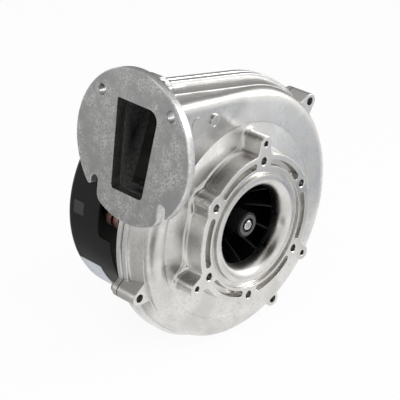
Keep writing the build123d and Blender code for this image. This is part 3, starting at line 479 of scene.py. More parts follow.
def mottling_group() -> bpy.types.NodeTree:
    """Cloudy staining: a soft cloud, a fine mottle, and sparse specks where the mottle peaks."""
    masks = ("Cloud", "Mottle", "Specks")
    group = Group("mottling", {"Scale": 60.0}, {mask: "NodeSocketFloat" for mask in masks})
    place = group.node("ShaderNodeTexCoord").outputs["Object"]
    cloud = group.noise(group.start.outputs["Scale"], 5.0, place)
    fine = group.noise(group.math("MULTIPLY", group.start.outputs["Scale"], 9.0), 3.0, place)
    group.link(group.spread(cloud, 0.36, 0.64), group.end.inputs["Cloud"])
    group.link(group.spread(fine, 0.35, 0.65), group.end.inputs["Mottle"])
    group.link(group.spread(fine, 0.64, 0.76), group.end.inputs["Specks"])
    return group.tree


def grain_group() -> bpy.types.NodeTree:
    """Skin of a casting or moulding: fine noise with broad waves under it."""
    group = Group("grain", {"Scale": 2500.0, "Waves": 0.3}, {"Height": "NodeSocketFloat"})
    place = group.node("ShaderNodeTexCoord").outputs["Object"]
    fine = group.noise(group.start.outputs["Scale"], 2.0, place)
    broad = group.noise(group.math("MULTIPLY", group.start.outputs["Scale"], 0.06), 2.0, place)
    waves = group.math("MULTIPLY", broad, group.start.outputs["Waves"])
    group.link(group.math("ADD", fine, waves), group.end.inputs["Height"])
    return group.tree


def wear_and_highlight_group() -> bpy.types.NodeTree:
    """Edge wear, which on the duct's painted shade is a painted edge highlight: the piece's own
    wear attribute, broken up by noise.
    """
    group = Group("edge_wear_and_highlight", {"Amount": 0.5}, {"Mask": "NodeSocketFloat"})
    place = group.node("ShaderNodeTexCoord").outputs["Object"]
    broken = group.spread(group.noise(420.0, 4.0, place), 0.3, 0.7)
    edge = group.node("ShaderNodeAttribute", attribute_name="wear").outputs["Fac"]
    patchy = group.math("ADD", group.math("MULTIPLY", broken, 0.6), 0.4)
    worn = group.math("MULTIPLY", edge, patchy)
    scaled = group.math("MULTIPLY", worn, group.start.outputs["Amount"])
    group.link(scaled, group.end.inputs["Mask"])
    return group.tree


def turning_group() -> bpy.types.NodeTree:
    """Tool marks of turning about the shaft: noise read along the radius and Y only."""
    group = Group("turning", {"Scale": 1800.0}, {"Height": "NodeSocketFloat"})
    place = group.node("ShaderNodeTexCoord").outputs["Object"]
    parts = group.node("ShaderNodeSeparateXYZ")
    group.link(place, parts.inputs[0])
    across = group.math("MULTIPLY", parts.outputs["X"], parts.outputs["X"])
    up = group.math("MULTIPLY", parts.outputs["Z"], parts.outputs["Z"])
    radius = group.math("SQRT", group.math("ADD", across, up))
    line = group.node("ShaderNodeCombineXYZ")
    group.link(radius, line.inputs["X"])
    group.link(parts.outputs["Y"], line.inputs["Y"])
    marks = group.noise(group.start.outputs["Scale"], 2.0, line.outputs[0])
    group.link(marks, group.end.inputs["Height"])
    return group.tree


def streak_group() -> bpy.types.NodeTree:
    """Soft upright streaks on a vertical face: noise squeezed along Z."""
    group = Group("streaks", {"Scale": 160.0}, {"Streak": "NodeSocketFloat"})
    place = group.node("ShaderNodeTexCoord").outputs["Object"]
    squeeze = group.node("ShaderNodeMapping")
    squeeze.inputs["Scale"].default_value = (1.0, 1.0, 0.12)
    group.link(place, squeeze.inputs["Vector"])
    streak = group.noise(group.start.outputs["Scale"], 3.0, squeeze.outputs[0])
    group.link(group.spread(streak, 0.35, 0.65), group.end.inputs["Streak"])
    return group.tree


GROUPS: dict[str, bpy.types.NodeTree] = {
    "mottling": mottling_group(),
    "grain": grain_group(),
    "edge_wear_and_highlight": wear_and_highlight_group(),
    "turning": turning_group(),
    "streaks": streak_group(),
}


# Finishes


MADE: dict[str, bpy.types.Material] = {}


@dataclass(frozen=True)
class Finish:
    """Procedural finish: two stained tones, mottle, specks, worn edges, streaks and a skin; on the
    duct's painted shade the worn edges are a painted highlight.

    Colours are linear. Depth is the height of the bump in millimetres.
    """

    name: str
    tone: tuple[float, float, float]
    stain: tuple[float, float, float]
    rough: tuple[float, float]
    metal: float = 0.0
    stain_scale: float = 60.0
    mottled: float = 0.4
    speck: tuple[float, float, float] | None = None
    grain: float = 2500.0
    depth: float = 0.02
    waves: float = 0.3
    turned: float = 0.0
    streaked: float = 0.0
    worn: tuple[float, float, float] | None = None
    coat: float = 0.0
    specular: float = 0.5

    @staticmethod
    def _group(tree: bpy.types.NodeTree, name: str, **values: float) -> bpy.types.Node:
        """Place a shared group in a material with its own values."""
        made = tree.nodes.new("ShaderNodeGroup")
        made.node_tree = GROUPS[name]
        for label, value in values.items():
            made.inputs[label].default_value = value
        return made

    @staticmethod
    def _mix(
        tree: bpy.types.NodeTree,
        factor: bpy.types.NodeSocket,
        first: bpy.types.NodeSocket | tuple[float, float, float],
        second: tuple[float, float, float],
        strength: float = 1.0,
    ) -> bpy.types.NodeSocket:
        """Mix two colours by a mask, scaled by a strength.

        Args:
            tree: material's tree.
            factor: mask.
            first: colour where the mask is 0, as a socket or a value.
            second: colour where the scaled mask is 1.
            strength: factor on the mask.

        Returns:
            The mixed colour's socket.
        """
        scaled = tree.nodes.new("ShaderNodeMath")
        scaled.operation = "MULTIPLY"
        scaled.inputs[1].default_value = strength
        tree.links.new(factor, scaled.inputs[0])
        made = tree.nodes.new("ShaderNodeMix")
        made.data_type = "RGBA"
        tree.links.new(scaled.outputs[0], made.inputs["Factor"])
        if isinstance(first, tuple):
            made.inputs["A"].default_value = (*first, 1.0)
        else:
            tree.links.new(first, made.inputs["A"])
        made.inputs["B"].default_value = (*second, 1.0)
        return made.outputs["Result"]

    def material(self) -> bpy.types.Material:
        """Build the material once, under a name that no material of the frame has."""
        if self.name in MADE:
            return MADE[self.name]
        made = bpy.data.materials.new(self.name)
        MADE[self.name] = made
        made.use_nodes = True
        tree = made.node_tree
        shader = tree.nodes["Principled BSDF"]
        shader.inputs["Metallic"].default_value = self.metal
        shader.inputs["Coat Weight"].default_value = self.coat
        shader.inputs["Coat Roughness"].default_value = COAT_ROUGHNESS
        shader.inputs["Specular IOR Level"].default_value = self.specular
        mottle = self._group(tree, "mottling", Scale=self.stain_scale)
        colour = self._mix(tree, mottle.outputs["Cloud"], self.tone, self.stain)
        colour = self._mix(tree, mottle.outputs["Mottle"], colour, self.stain, self.mottled)
        if self.speck is not None:
            colour = self._mix(tree, mottle.outputs["Specks"], colour, self.speck, SPECK_SHARE)
        if self.streaked:
            streaks = self._group(tree, "streaks")
            colour = self._mix(tree, streaks.outputs["Streak"], colour, self.stain, self.streaked)
        if self.worn is not None:
            wear = self._group(tree, "edge_wear_and_highlight", Amount=1.0)
            colour = self._mix(tree, wear.outputs["Mask"], colour, self.worn)
        tree.links.new(colour, shader.inputs["Base Color"])
        rough = tree.nodes.new("ShaderNodeMapRange")
        rough.inputs["To Min"].default_value = self.rough[0]
        rough.inputs["To Max"].default_value = self.rough[1]
        tree.links.new(mottle.outputs["Cloud"], rough.inputs["Value"])
        tree.links.new(rough.outputs["Result"], shader.inputs["Roughness"])
        if self.turned:
            skin = self._group(tree, "turning", Scale=self.turned)
        else:
            skin = self._group(tree, "grain", Scale=self.grain, Waves=self.waves)
        bump = tree.nodes.new("ShaderNodeBump")
        bump.inputs["Distance"].default_value = self.depth * MM
        tree.links.new(skin.outputs["Height"], bump.inputs["Height"])
        tree.links.new(bump.outputs["Normal"], shader.inputs["Normal"])
        return made


CAST = Finish(
    "cast_aluminium", (0.78, 0.77, 0.75), (0.64, 0.63, 0.61), (0.28, 0.4), metal=1.0,
    stain_scale=42.0, mottled=0.6, speck=(0.42, 0.41, 0.40), grain=1400.0, depth=0.04, waves=0.5,
    worn=(0.82, 0.82, 0.81),
)
FLANGE = Finish(
    "disc_aluminium", (0.78, 0.775, 0.765), (0.42, 0.42, 0.42), (0.32, 0.44), metal=1.0,
    stain_scale=75.0, mottled=0.95, speck=(0.26, 0.26, 0.27), grain=1600.0, depth=0.03, waves=0.4,
    streaked=0.35, worn=(0.85, 0.85, 0.84),
)
MACHINED = Finish(
    "machined_aluminium", (0.75, 0.735, 0.71), (0.66, 0.645, 0.62), (0.26, 0.36), metal=1.0,
    stain_scale=55.0, mottled=0.5, turned=1500.0, depth=0.005, worn=(0.85, 0.84, 0.83),
)
BLACK_GLOSS = Finish(
    "moulded_blade", (0.008, 0.008, 0.009), (0.012, 0.012, 0.013), (0.2, 0.34),
    stain_scale=80.0, grain=900.0, depth=0.01, worn=(0.012, 0.012, 0.012), specular=0.25,
)
BLACK_SATIN = Finish(
    "moulded_cover", (0.010, 0.010, 0.0095), (0.014, 0.014, 0.0135), (0.42, 0.52),
    stain_scale=30.0, grain=3200.0, depth=0.03, waves=0.1, worn=(0.04, 0.04, 0.04),
    specular=0.16,
)
# Painted shade: the duct's inner walls get a near-black tone that stands in for the shadow inside
# the duct; its pale worn colour is a painted highlight along their rounded edges.
DUCT_PAINTED_SHADE = Finish(
    "duct_painted_shade", (0.005, 0.005, 0.005), (0.008, 0.008, 0.0078), (0.5, 0.6),
    stain_scale=40.0, grain=1800.0, depth=0.03, worn=(0.14, 0.14, 0.135), specular=0.08,
)
BLACK_SPRING = Finish(
    "black_spring", (0.05, 0.05, 0.05), (0.03, 0.03, 0.03), (0.35, 0.5), metal=1.0,
    stain_scale=200.0, grain=4200.0, depth=0.006,
)
TAG = Finish(
    "tag_film", (0.055, 0.055, 0.05), (0.04, 0.04, 0.037), (0.34, 0.44),
    stain_scale=90.0, grain=3600.0, depth=0.005, specular=0.3,
)
LABEL = Finish(
    "label_foil", (0.66, 0.69, 0.74), (0.60, 0.63, 0.69), (0.35, 0.42), metal=0.25,
    stain_scale=90.0, mottled=0.2, grain=4000.0, depth=0.005,
)
ZINC = Finish(
    "zinc_plating", (0.50, 0.50, 0.49), (0.40, 0.40, 0.39), (0.3, 0.44), metal=1.0,
    stain_scale=160.0, grain=5000.0, depth=0.008, worn=(0.7, 0.7, 0.7),
)
BRIGHT = Finish(
    "ground_steel", (0.56, 0.53, 0.51), (0.46, 0.43, 0.42), (0.18, 0.28), metal=1.0,
    stain_scale=120.0, turned=4200.0, depth=0.008, worn=(0.85, 0.83, 0.82),
)
BUSH = Finish(
    "bush_steel", (0.12, 0.12, 0.12), (0.09, 0.09, 0.09), (0.3, 0.42), metal=1.0,
    stain_scale=150.0, turned=3600.0, depth=0.01, worn=(0.18, 0.18, 0.18),
)
BRACKET = Finish(
    "bracket_casting", (0.48, 0.48, 0.47), (0.40, 0.40, 0.39), (0.4, 0.55), metal=1.0,
    stain_scale=70.0, grain=1800.0, depth=0.04, waves=0.6,
)
SINK = Finish(
    "extruded_sink", (0.55, 0.55, 0.56), (0.48, 0.48, 0.49), (0.3, 0.45), metal=1.0,
    stain_scale=110.0, grain=2600.0, depth=0.012,
)
COPPER = Finish(
    "enamelled_copper", (0.62, 0.27, 0.22), (0.54, 0.22, 0.18), (0.28, 0.4), metal=0.35,
    stain_scale=300.0, grain=3000.0, depth=0.01, coat=0.3, worn=(0.85, 0.55, 0.47),
)
CORE = Finish(
    "stacked_core", (0.20, 0.20, 0.21), (0.14, 0.14, 0.15), (0.4, 0.55), metal=1.0,
    stain_scale=200.0, grain=2200.0, depth=0.03,
)
MAGNET = Finish(
    "magnet_ceramic", (0.05, 0.05, 0.055), (0.03, 0.03, 0.035), (0.4, 0.6),
    stain_scale=150.0, grain=2600.0, depth=0.02,
)
FERRITE = Finish(
    "pressed_ferrite", (0.035, 0.033, 0.033), (0.025, 0.024, 0.024), (0.5, 0.65),
    stain_scale=180.0, grain=2400.0, depth=0.03,
)
RUBBER = Finish(
    "black_rubber", (0.016, 0.016, 0.016), (0.024, 0.024, 0.024), (0.6, 0.75),
    stain_scale=90.0, grain=2400.0, depth=0.03,
)
FIBRE = Finish(
    "fibre_gasket", (0.02, 0.02, 0.02), (0.035, 0.033, 0.03), (0.8, 0.9),
    stain_scale=200.0, grain=3500.0, depth=0.06,
)
NATURAL = Finish(
    "natural_plastic", (0.62, 0.58, 0.48), (0.55, 0.51, 0.41), (0.4, 0.5),
    stain_scale=120.0, grain=2600.0, depth=0.015,
)
SOCKET = Finish(
    "pale_socket", (0.70, 0.69, 0.64), (0.64, 0.63, 0.58), (0.36, 0.46),
    stain_scale=120.0, grain=2800.0, depth=0.015,
)
BOARD = Finish(
    "board_laminate", (0.012, 0.020, 0.014), (0.009, 0.014, 0.010), (0.3, 0.4),
    stain_scale=240.0, speck=(0.10, 0.09, 0.05), grain=2600.0, depth=0.02, specular=0.3,
)
CAN = Finish(
    "can_sleeve", (0.03, 0.035, 0.06), (0.022, 0.026, 0.045), (0.2, 0.3),
    stain_scale=140.0, grain=2200.0, depth=0.01, coat=0.5,
)
CONTACT = Finish(
    "tinned_contact", (0.72, 0.66, 0.5), (0.62, 0.57, 0.43), (0.2, 0.3), metal=1.0,
    stain_scale=300.0, grain=3000.0, depth=0.008,
)
SLOT_FINISH: dict[str, Finish] = {
    "cast_alloy": CAST,
    "bracket_alloy": BRACKET,
    "zinc_steel": ZINC,
    "bright_steel": BRIGHT,
    "blade_plastic": BLACK_GLOSS,
    "cover_plastic": BLACK_SATIN,
    "socket_plastic": SOCKET,
    "bobbin_plastic": NATURAL,
    "seal_rubber": RUBBER,
    "gasket_fibre": FIBRE,
    "copper": COPPER,
    "core_steel": CORE,
    "magnet": MAGNET,
    "ferrite": FERRITE,
    "board": BOARD,
    "can": CAN,
    "sink_alloy": SINK,
    "contact": CONTACT,
}


# Outlines that more than one sub-assembly follows


@dataclass(frozen=True)
class ScrollLine:
    """Outline of the scroll and its duct, from three arcs, a rising top and a level floor."""

    left_centre: tuple[float, float] = (3.5, -3.2)
    left_radius: float = 100.0
    lower_centre: tuple[float, float] = (3.5, 2.5)
    lower_radius: float = 105.7
    upper_centre: tuple[float, float] = (0.9, 2.5)
    upper_radius: float = 108.3
    rise: float = math.radians(3.9)
    floor: float = 34.5
    counts: tuple[int, ...] = (190, 120, 120, 80, 30, 24)
    spoke_grow: float = -3.0
    duct_end: float = -106.0
    base_angle: float = math.radians(154.5)
    tip_angle: float = math.radians(158.8)
    head_columns: int = 12
    lip: float = 5.3
    lip_foot: float = 4.2
    lip_chamfer: float = 0.9
    lip_round: float = 0.35

    @property
    def size(self) -> int:
        """Number of points in the loop."""
        return sum(self.counts)

    def part(self, index: int) -> slice:
        """Columns of one stretch: 0 to 2 the arcs, 3 the top, 4 the duct's end, 5 its floor."""
        start = sum(self.counts[:index])
        return slice(start, start + self.counts[index])

    def at(self, grow: np.ndarray, end: float) -> np.ndarray:
        """Loops grown outwards.

        Each arc is its centre plus (radius + grow) times the unit vector; the top line leaves
        the upper arc at its tangent point and rises to the end; the floor lies at floor - grow
        and meets the left arc at the tongue.

        Args:
            grow: distance outside the ledge line at each point, (levels, points).
            end: X where the duct is cut off.

        Returns:
            Array (levels, points, 2) of X and Z.
        """
        steps = [np.linspace(0, 1, count, endpoint=False) for count in self.counts]
        parts = [grow[:, self.part(i)] for i in range(6)]

        def arc(centre: tuple[float, float], radius: np.ndarray, angle: np.ndarray) -> np.ndarray:
            """Points at an angle and radius about a centre."""
            return np.stack(
                [centre[0] + radius * np.cos(angle), centre[1] + radius * np.sin(angle)], -1
            )

        def tongue(own: np.ndarray) -> tuple[np.ndarray, np.ndarray]:
            """X and Z of the tongue for each grow."""
            z = self.floor - own
            half = np.sqrt((self.left_radius + own) ** 2 - (z - self.left_centre[1]) ** 2)
            return self.left_centre[0] - half, z

        def top(own: np.ndarray, x: np.ndarray) -> np.ndarray:
            """Height of the top line at x."""
            radius = self.upper_radius + own
            touch_x = self.upper_centre[0] + radius * math.sin(self.rise)
            touch_z = self.upper_centre[1] + radius * math.cos(self.rise)
            return touch_z + (touch_x - x) * math.tan(self.rise)

        tip_x, tip_z = tongue(parts[0])
        start = np.arctan2(tip_z - self.left_centre[1], tip_x - self.left_centre[0])
        sweep = 1.5 * math.pi - start
        left = arc(self.left_centre, self.left_radius + parts[0], start + sweep * steps[0])
        lower = arc(
            self.lower_centre, self.lower_radius + parts[1], math.pi * (1.5 + steps[1] / 2)
        )
        upper_turn = (math.pi / 2 - self.rise) * steps[2]
        upper = arc(self.upper_centre, self.upper_radius + parts[2], upper_turn)
        touch = self.upper_centre[0] + (self.upper_radius + parts[3]) * math.sin(self.rise)
        run_x = touch + (end - touch) * steps[3]
        run = np.stack([run_x, top(parts[3], run_x)], -1)
        end_x = np.full_like(parts[4], end)
        high, low = top(parts[4], end_x), self.floor - parts[4]
        drop = np.stack([end_x, high + (low - high) * steps[4]], -1)
        tip_x, tip_z = tongue(parts[5])
        base = np.stack([end + (tip_x - end) * steps[5], tip_z], -1)
        return np.concatenate([left, lower, upper, run, drop, base], axis=1)

    def spokes(self) -> np.ndarray:
        """Angle about the shaft that each point is paired with on a round inside the scroll.

        The angle is the point's own, except from the duct's end to the tongue, where it is
        spread evenly so that the spokes never cross.
        """
        loop = self.at(np.full((1, self.size), self.spoke_grow), self.duct_end)[0]
        angle = np.unwrap(np.arctan2(loop[:, 1], loop[:, 0]))
        angle -= TURN * round((angle[0] - self.tip_angle) / TURN)
        end, base = self.part(4), self.part(5)
        low, tip = self.base_angle + TURN, self.tip_angle + TURN
        angle[end] = np.linspace(angle[end.start], low, self.counts[4], endpoint=False)
        angle[base] = np.linspace(low, tip, self.counts[5], endpoint=False)
        head = self.part(0)
        share = np.clip(1 - np.arange(self.counts[0]) / self.head_columns, 0, 1)
        angle[head] += share * (self.tip_angle - angle[0])
        return angle


@dataclass(frozen=True)
class EarLine:
    """Screw ears round the parting line: round tips that widen towards the shaft."""

    places: tuple[tuple[float, float], ...] = (
        (82.9, 84.5),
        (66.5, -91.3),
        (-95.7, -46.1),
        (-81.0, 121.0),
        (-99.0, 27.0),
    )
    tip: float = 6.6
    web: float = 11.0
    reach: float = 15.0
    hole: float = 3.3
    mouth: tuple[tuple[float, float], ...] = ((0.7, 0.0), (0.2, 0.2), (0.0, 0.7))
    points: int = 96
    proud: float = 0.06
    short: tuple[int, ...] = (3, 4)
    short_front: float = 39.5

    def ring(
        self, place: tuple[float, float], front: float, back: float, edge: float
    ) -> np.ndarray:
        """Closed ring of one ear, from its outline round the front to its hole and back.

        Rows are the outline inset by each step of the rounding, then the hole's wall at the
        same angle as the outline's points.

        Args:
            place: hole centre in X and Z.
            front: Y of the front face.
            back: Y of the back face.
            edge: radius of the outer edge.

        Returns:
            Array (rows, points, 3), closed both ways.
        """
        turn = math.atan2(place[1], place[0])
        arc = quarter(4)
        insets = np.concatenate([[0], edge * (1 - np.cos(arc))])
        front = front - self.proud
        levels = np.concatenate([[back], front + edge * (1 - np.sin(arc))])
        outer = [
            hull_loop(self.tip - inset, self.web - inset, self.reach, turn, self.points)
            for inset in insets
        ]
        unit = outer[0] / np.linalg.norm(outer[0], axis=1, keepdims=True)
        holes = [(self.hole + wide, front + deep) for wide, deep in self.mouth]
        holes.append((self.hole, back))
        loops = np.stack(outer + [unit * radius for radius, _ in holes])
        heights = np.concatenate([levels, [height for _, height in holes]])
        return raised(loops + np.array(place), heights)


# Front casting


@dataclass
class FrontCasting:
    """Front half of the housing: scroll shell, inlet flange with its nozzle, and outlet disc."""

    line: ScrollLine = field(default_factory=ScrollLine)
    ears: EarLine = field(default_factory=EarLine)
    face: float = 19.4
    lean_x: float = 0.1403
    lean_z: float = 0.1487
    lean_from: tuple[float, float] = (0.9, 110.8)
    lean_sharpness: float = 1.6
    rounding: float = 10.0
    floor_rounding: float = 5.0
    flattening: float = 0.85
    step_in: float = 0.5
    ledge: float = 28.5
    draft: float = 42.0
    draft_out: float = 2.4
    parting: float = 47.5
    shell_end: float = -107.0
    wall: float = 3.4
    shoulder: float = 83.0
    shoulder_back: float = 20.1
    shoulder_top: float = 64.0
    cone_root: float = 60.0
    cone_radii: tuple[float, ...] = (70.0, 76.0, 81.0, 82.7)
    brow_out: tuple[float, ...] = (0.1, 0.25, 0.6)
    brow_sink: tuple[float, ...] = (0.5, 0.18, 0.04)
    brow_end: float = 0.9
    face_rows: int = 8
    barrel_end: float = 17.6
    flange_radius: float = 62.5
    bolt_circle: float = 57.5
    ear_circle: float = 71.9
    ear_radii: tuple[float, float] = (7.4, 6.3)
    boss_radii: tuple[float, ...] = (6.8, 6.6, 9.2, 6.8, 9.4, 6.8)
    wide_boss: int = 4
    wide_boss_shift: float = 1.0
    outline_guess: float = 72.0
    outline_points: int = 900
    blend: float = 3.0
    edge: float = 0.8
    fillet: float = 3.2
    bolt_hole: tuple[float, float, float] = (3.1, 3.9, 12.0)
    ear_hole: tuple[float, float, float] = (2.3, 2.9, 13.0)
    drill_point: float = 1.6
    groove: tuple[float, float] = (45.6, 50.3)
    groove_depth: float = 3.4
    flat_band: tuple[float, float] = (44.0, 51.2)
    mouth_radius: float = 42.8
    throat: float = 34.0
    mouth_depth: float = 11.0
    nozzle_end: float = 15.0
    nozzle_wall: float = 2.5
    plenum: tuple[float, float] = (50.0, 20.0)
    kidney: tuple[float, float] = (52.6, 57.8)
    kidney_span: tuple[float, float] = (41.0, 79.0)
    kidney_depth: float = 7.0
    disc_face: float = -113.0
    disc_back: float = -106.0
    disc_radius: float = 60.0
    disc_rim: float = 0.8
    disc_back_rim: float = 0.7
    disc_centre: tuple[float, float] = (34.6, 78.9)
    slot_side: float = 36.5
    slot_radius: float = 3.7
    slot_crown: float = -36.3
    slot_rounds: tuple[float, float, float] = (1.3, 8.0, 2.2)
    screw_shift: float = -1.0
    screw_height: float = 114.4
    screw_radii: tuple[float, float, float] = (5.6, 4.8, 3.8)
    passage_start: float = -107.5
    passage_end: float = -90.5
    passage_floor: float = 42.05
    passage_back: float = 52.45

    @property
    def cone_slope(self) -> float:
        """Rise of the shoulder's cone along Y for each unit of radius."""
        return (self.shoulder_back - self.barrel_end) / (self.shoulder - self.shoulder_top)

    def lean(self, x: np.ndarray | float, z: np.ndarray | float) -> np.ndarray | float:
        """Y of the duct's leaning face, which rises with X and falls with Z from one point."""
        across, up = self.lean_from
        return self.face + self.lean_x * (x - across) - self.lean_z * (z - up)

    def face_level(self, x: np.ndarray, z: np.ndarray) -> np.ndarray:
        """Y of the front face: the flat and the leaning face under a soft minimum,
        -ln(exp(-a) + exp(-b)) of both."""
        sharp = self.lean_sharpness
        return -np.logaddexp(-sharp * self.face, -sharp * self.lean(x, z)) / sharp

    def shell(self) -> Surface:
        """Scroll and duct: loops of the outline run from the shoulder over the face to the joint.

        Rows on the face blend a round about the shaft into the outline; rows of the rounding
        are inset by r (1 - sin t) and sunk by a share of r (1 - cos t); rows of the wall follow
        the profile of ledge, draft and lip.
        """
        size, line = self.line.size, self.line
        radius = np.full(size, self.rounding)
        radius[line.part(4)] = self.floor_rounding
        ramp = np.linspace(0, 1, line.counts[5]) ** 2
        radius[line.part(5)] += (1 - ramp) * (self.floor_rounding - self.rounding)
        spokes = line.spokes()
        unit = np.stack([np.cos(spokes), np.sin(spokes)], -1)
        turn = quarter(8)[:, None]
        inset = line.at(-self.step_in - radius * (1 - np.sin(turn)), self.shell_end)
        drop = self.flattening * radius * (1 - np.cos(turn))
        sunk = self.face_level(inset[..., 0], inset[..., 1]) + drop
        share = np.linspace(0, 1, self.face_rows, endpoint=False)[:, None, None]
        rim = unit * (self.shoulder + self.brow_end)
        flat = rim + (inset[0] - rim) * share
        brow = unit * (self.shoulder + np.array(self.brow_out))[:, None, None]
        face = np.concatenate([brow, flat])
        level = self.face_level(face[..., 0], face[..., 1])
        level[: len(brow)] += np.array(self.brow_sink)[:, None]
        radii = np.array([self.cone_root, self.shoulder_top, *self.cone_radii])
        rise = np.maximum(radii - self.shoulder_top, 0) * self.cone_slope
        cone = unit * radii[:, None, None]
        wall = rounded(
            [(-self.step_in, 22), (-self.step_in, self.ledge), (0, self.ledge),
             (self.draft_out, self.draft), (line.lip, self.draft),
             (line.lip, self.parting - line.lip_chamfer), (line.lip_foot, self.parting)],
            [0, 0.2, 0.25, 1.4, 0.7, line.lip_round, 0], 4,
        )[1:]
        side = line.at(np.repeat(wall[:, :1], size, axis=1), self.shell_end)
        heights = np.concatenate(
            [
                np.repeat((self.barrel_end + rise)[:, None], size, axis=1),
                level,
                sunk,
                np.repeat(wall[:, 1:], size, axis=1),
            ]
        )
        points = raised(np.concatenate([cone, face, inset, side]), heights)
        keep = np.ones((len(points) - 1, size), bool)
        keep[len(cone) + len(face) + 2 :, line.part(4)] = False
        wear = np.zeros((len(points), size))
        ledge_edge = len(points) - len(side) + 5
        wear[ledge_edge : ledge_edge + 4] = 0.6
        wear[-12:-3] = 0.8
        return Surface().grid(points, keep=keep, wear=wear)

    def flange_distance(self, place: np.ndarray, blend: float) -> np.ndarray:
        """Signed distance in X and Z to the round flange joined with its bosses and ears.

        Args:
            place: points, (n, 2).
            blend: width over which the joins are eased.

        Returns:
            Distances (n,).
        """
        whole = np.linalg.norm(place, axis=-1) - self.flange_radius
        for index, width in enumerate(self.boss_radii):
            shift = self.wide_boss_shift if index == self.wide_boss else 0.0
            boss = polar(self.bolt_circle + shift, 30 + 60 * index)
            whole = joined(whole, np.linalg.norm(place - boss, axis=-1) - width, blend)
        for index in range(3):
            neck = polar(self.bolt_circle, 90 + 120 * index)
            tip = polar(self.ear_circle, 90 + 120 * index)
            whole = joined(whole, bar_distance(place, neck, tip, *self.ear_radii), blend * 1.5)
        return whole

    def flange_row(self, start: np.ndarray, grow: float, blend: float) -> np.ndarray:
        """Row carried from start along the slope of the distance until it equals grow.

        Args:
            start: points, (n, 2).
            grow: distance outside the flange's outline.
            blend: width over which the joins are eased.

        Returns:
            Array (n, 2), after five Newton steps.
        """
        step = 0.01
        shifts = (np.array([step, 0]), np.array([0, step]))
        place = start
        for _ in range(5):
            value = self.flange_distance(place, blend)
            beside = [self.flange_distance(place + shift, blend) for shift in shifts]
            slope = (np.stack(beside, -1) - value[:, None]) / step
            place = place + slope * ((grow - value) / (slope**2).sum(-1))[:, None]
        return place

    def barrel(self) -> tuple[np.ndarray, np.ndarray]:
        """Rows from the flange's face over its edge, down the barrel and out along the fillet.

        Rows of the edge are inset by edge (1 - cos t) and sunk by edge (1 - sin t); rows of the
        fillet grow by fillet (1 - cos t) and rise from the cone by fillet (1 - sin t).

        Returns:
            Points (rows, columns, 3) and the wear at each.
        """
        rays = np.linspace(0, TURN, self.outline_points, endpoint=False)
        guess = self.outline_guess * np.stack([np.cos(rays), np.sin(rays)], -1)
        outline = resample(self.flange_row(guess, 0.0, self.blend), self.outline_points)
        outline = self.flange_row(outline, 0.0, self.blend)
        rows, levels = [], []
        for step in quarter(5)[::-1]:
            inset = self.edge * (1 - math.cos(step))
            rows.append(self.flange_row(outline, -inset, self.blend))
            levels.append(np.full(len(outline), self.edge * (1 - math.sin(step))))
        rows.append(outline)
        levels.append(np.full(len(outline), self.barrel_end - self.fillet - 3.0))
        current = outline
        for step in quarter(8):
            grow = self.fillet * (1 - math.cos(step))
            current = self.flange_row(current, grow, self.blend + 1.2 * grow)
            past = np.maximum(np.linalg.norm(current, axis=1) - self.shoulder_top, 0)
            base = self.barrel_end + past * self.cone_slope - 0.02
            rows.append(current)
            levels.append(base - self.fillet * (1 - math.sin(step)))
        rows.append(self.flange_row(current, self.fillet + 0.8, 3 * self.blend))
        levels.append(levels[-1] + 1.2)
        wear = np.zeros((len(rows), len(outline)))
        wear[1:6] = 0.8
        return raised(np.stack(rows), np.stack(levels)), wear

    def inlet(self) -> Surface:
        """Barrel and flange with its pockets.

        The flat face between the outline, the holes, the pockets and the seal groove is filled,
        and turned rows go on through the groove, down the mouth, whose profile is a quarter of
        an ellipse, and back behind it.
        """
        wall, wear = self.barrel()
        surface = Surface().grid(wall, wear=wear)
        near, far = self.groove
        groove = rounded(
            [(self.flat_band[1], 0), (far, 0), (far, self.groove_depth),
             (near, self.groove_depth), (near, 0), (self.flat_band[0], 0)],
            [0, 0.3, 0.7, 0.7, 0.3, 0], 4,
        )
        turn = quarter(22)
        radius = self.mouth_radius - (self.mouth_radius - self.throat) * np.sin(turn)
        bell = np.stack([radius, self.mouth_depth * (1 - np.cos(turn))], 1)
        outer, root = self.throat + self.nozzle_wall, self.mouth_depth + 1.0
        tail = rounded(
            [(self.throat, root), (self.throat, self.nozzle_end), (outer, self.nozzle_end),
             (outer, root), (self.plenum[0], root), self.plenum],
            [0, 0.7, 0.7, 1.5, 0, 0], 3,
        )
        inner = revolved(np.vstack([groove, bell, tail]), 300)
        surface.grid(inner)
        cups = self.hole_cups() + self.kidney_cups()
        for cup in cups:
            surface.cup(cup)
        surface.fill([wall[0], inner[0], *[cup[0] for cup in cups]])
        surface.fill([wall[-1], inner[-1]])
        return surface

    def hole_cups(self) -> list[np.ndarray]:
        """Countersunk holes of the bolt circle and the ears, as closed rows from mouth to end."""
        round_ = np.linspace(0, TURN, 44, endpoint=False)
        unit = np.stack([np.cos(round_), np.sin(round_)], -1)
        places = [(self.bolt_circle, 30 + 60 * index, self.bolt_hole) for index in range(6)]
        places += [(self.ear_circle, 90 + 120 * index, self.ear_hole) for index in range(3)]
        cups = []
        for circle, angle, (hole, sink, depth) in places:
            profile = rounded(
                [(sink + 0.6, 0), (sink, 0), (hole, (sink - hole) * 0.8), (hole, depth),
                 (0.3, depth + self.drill_point)],
                [0, 0.5, 0.4, 0, 0], 3,
            )[1:]
            loops = unit * profile[:, :1, None] + polar(circle, angle)
            cups.append(raised(loops, profile[:, 1]))
        return cups

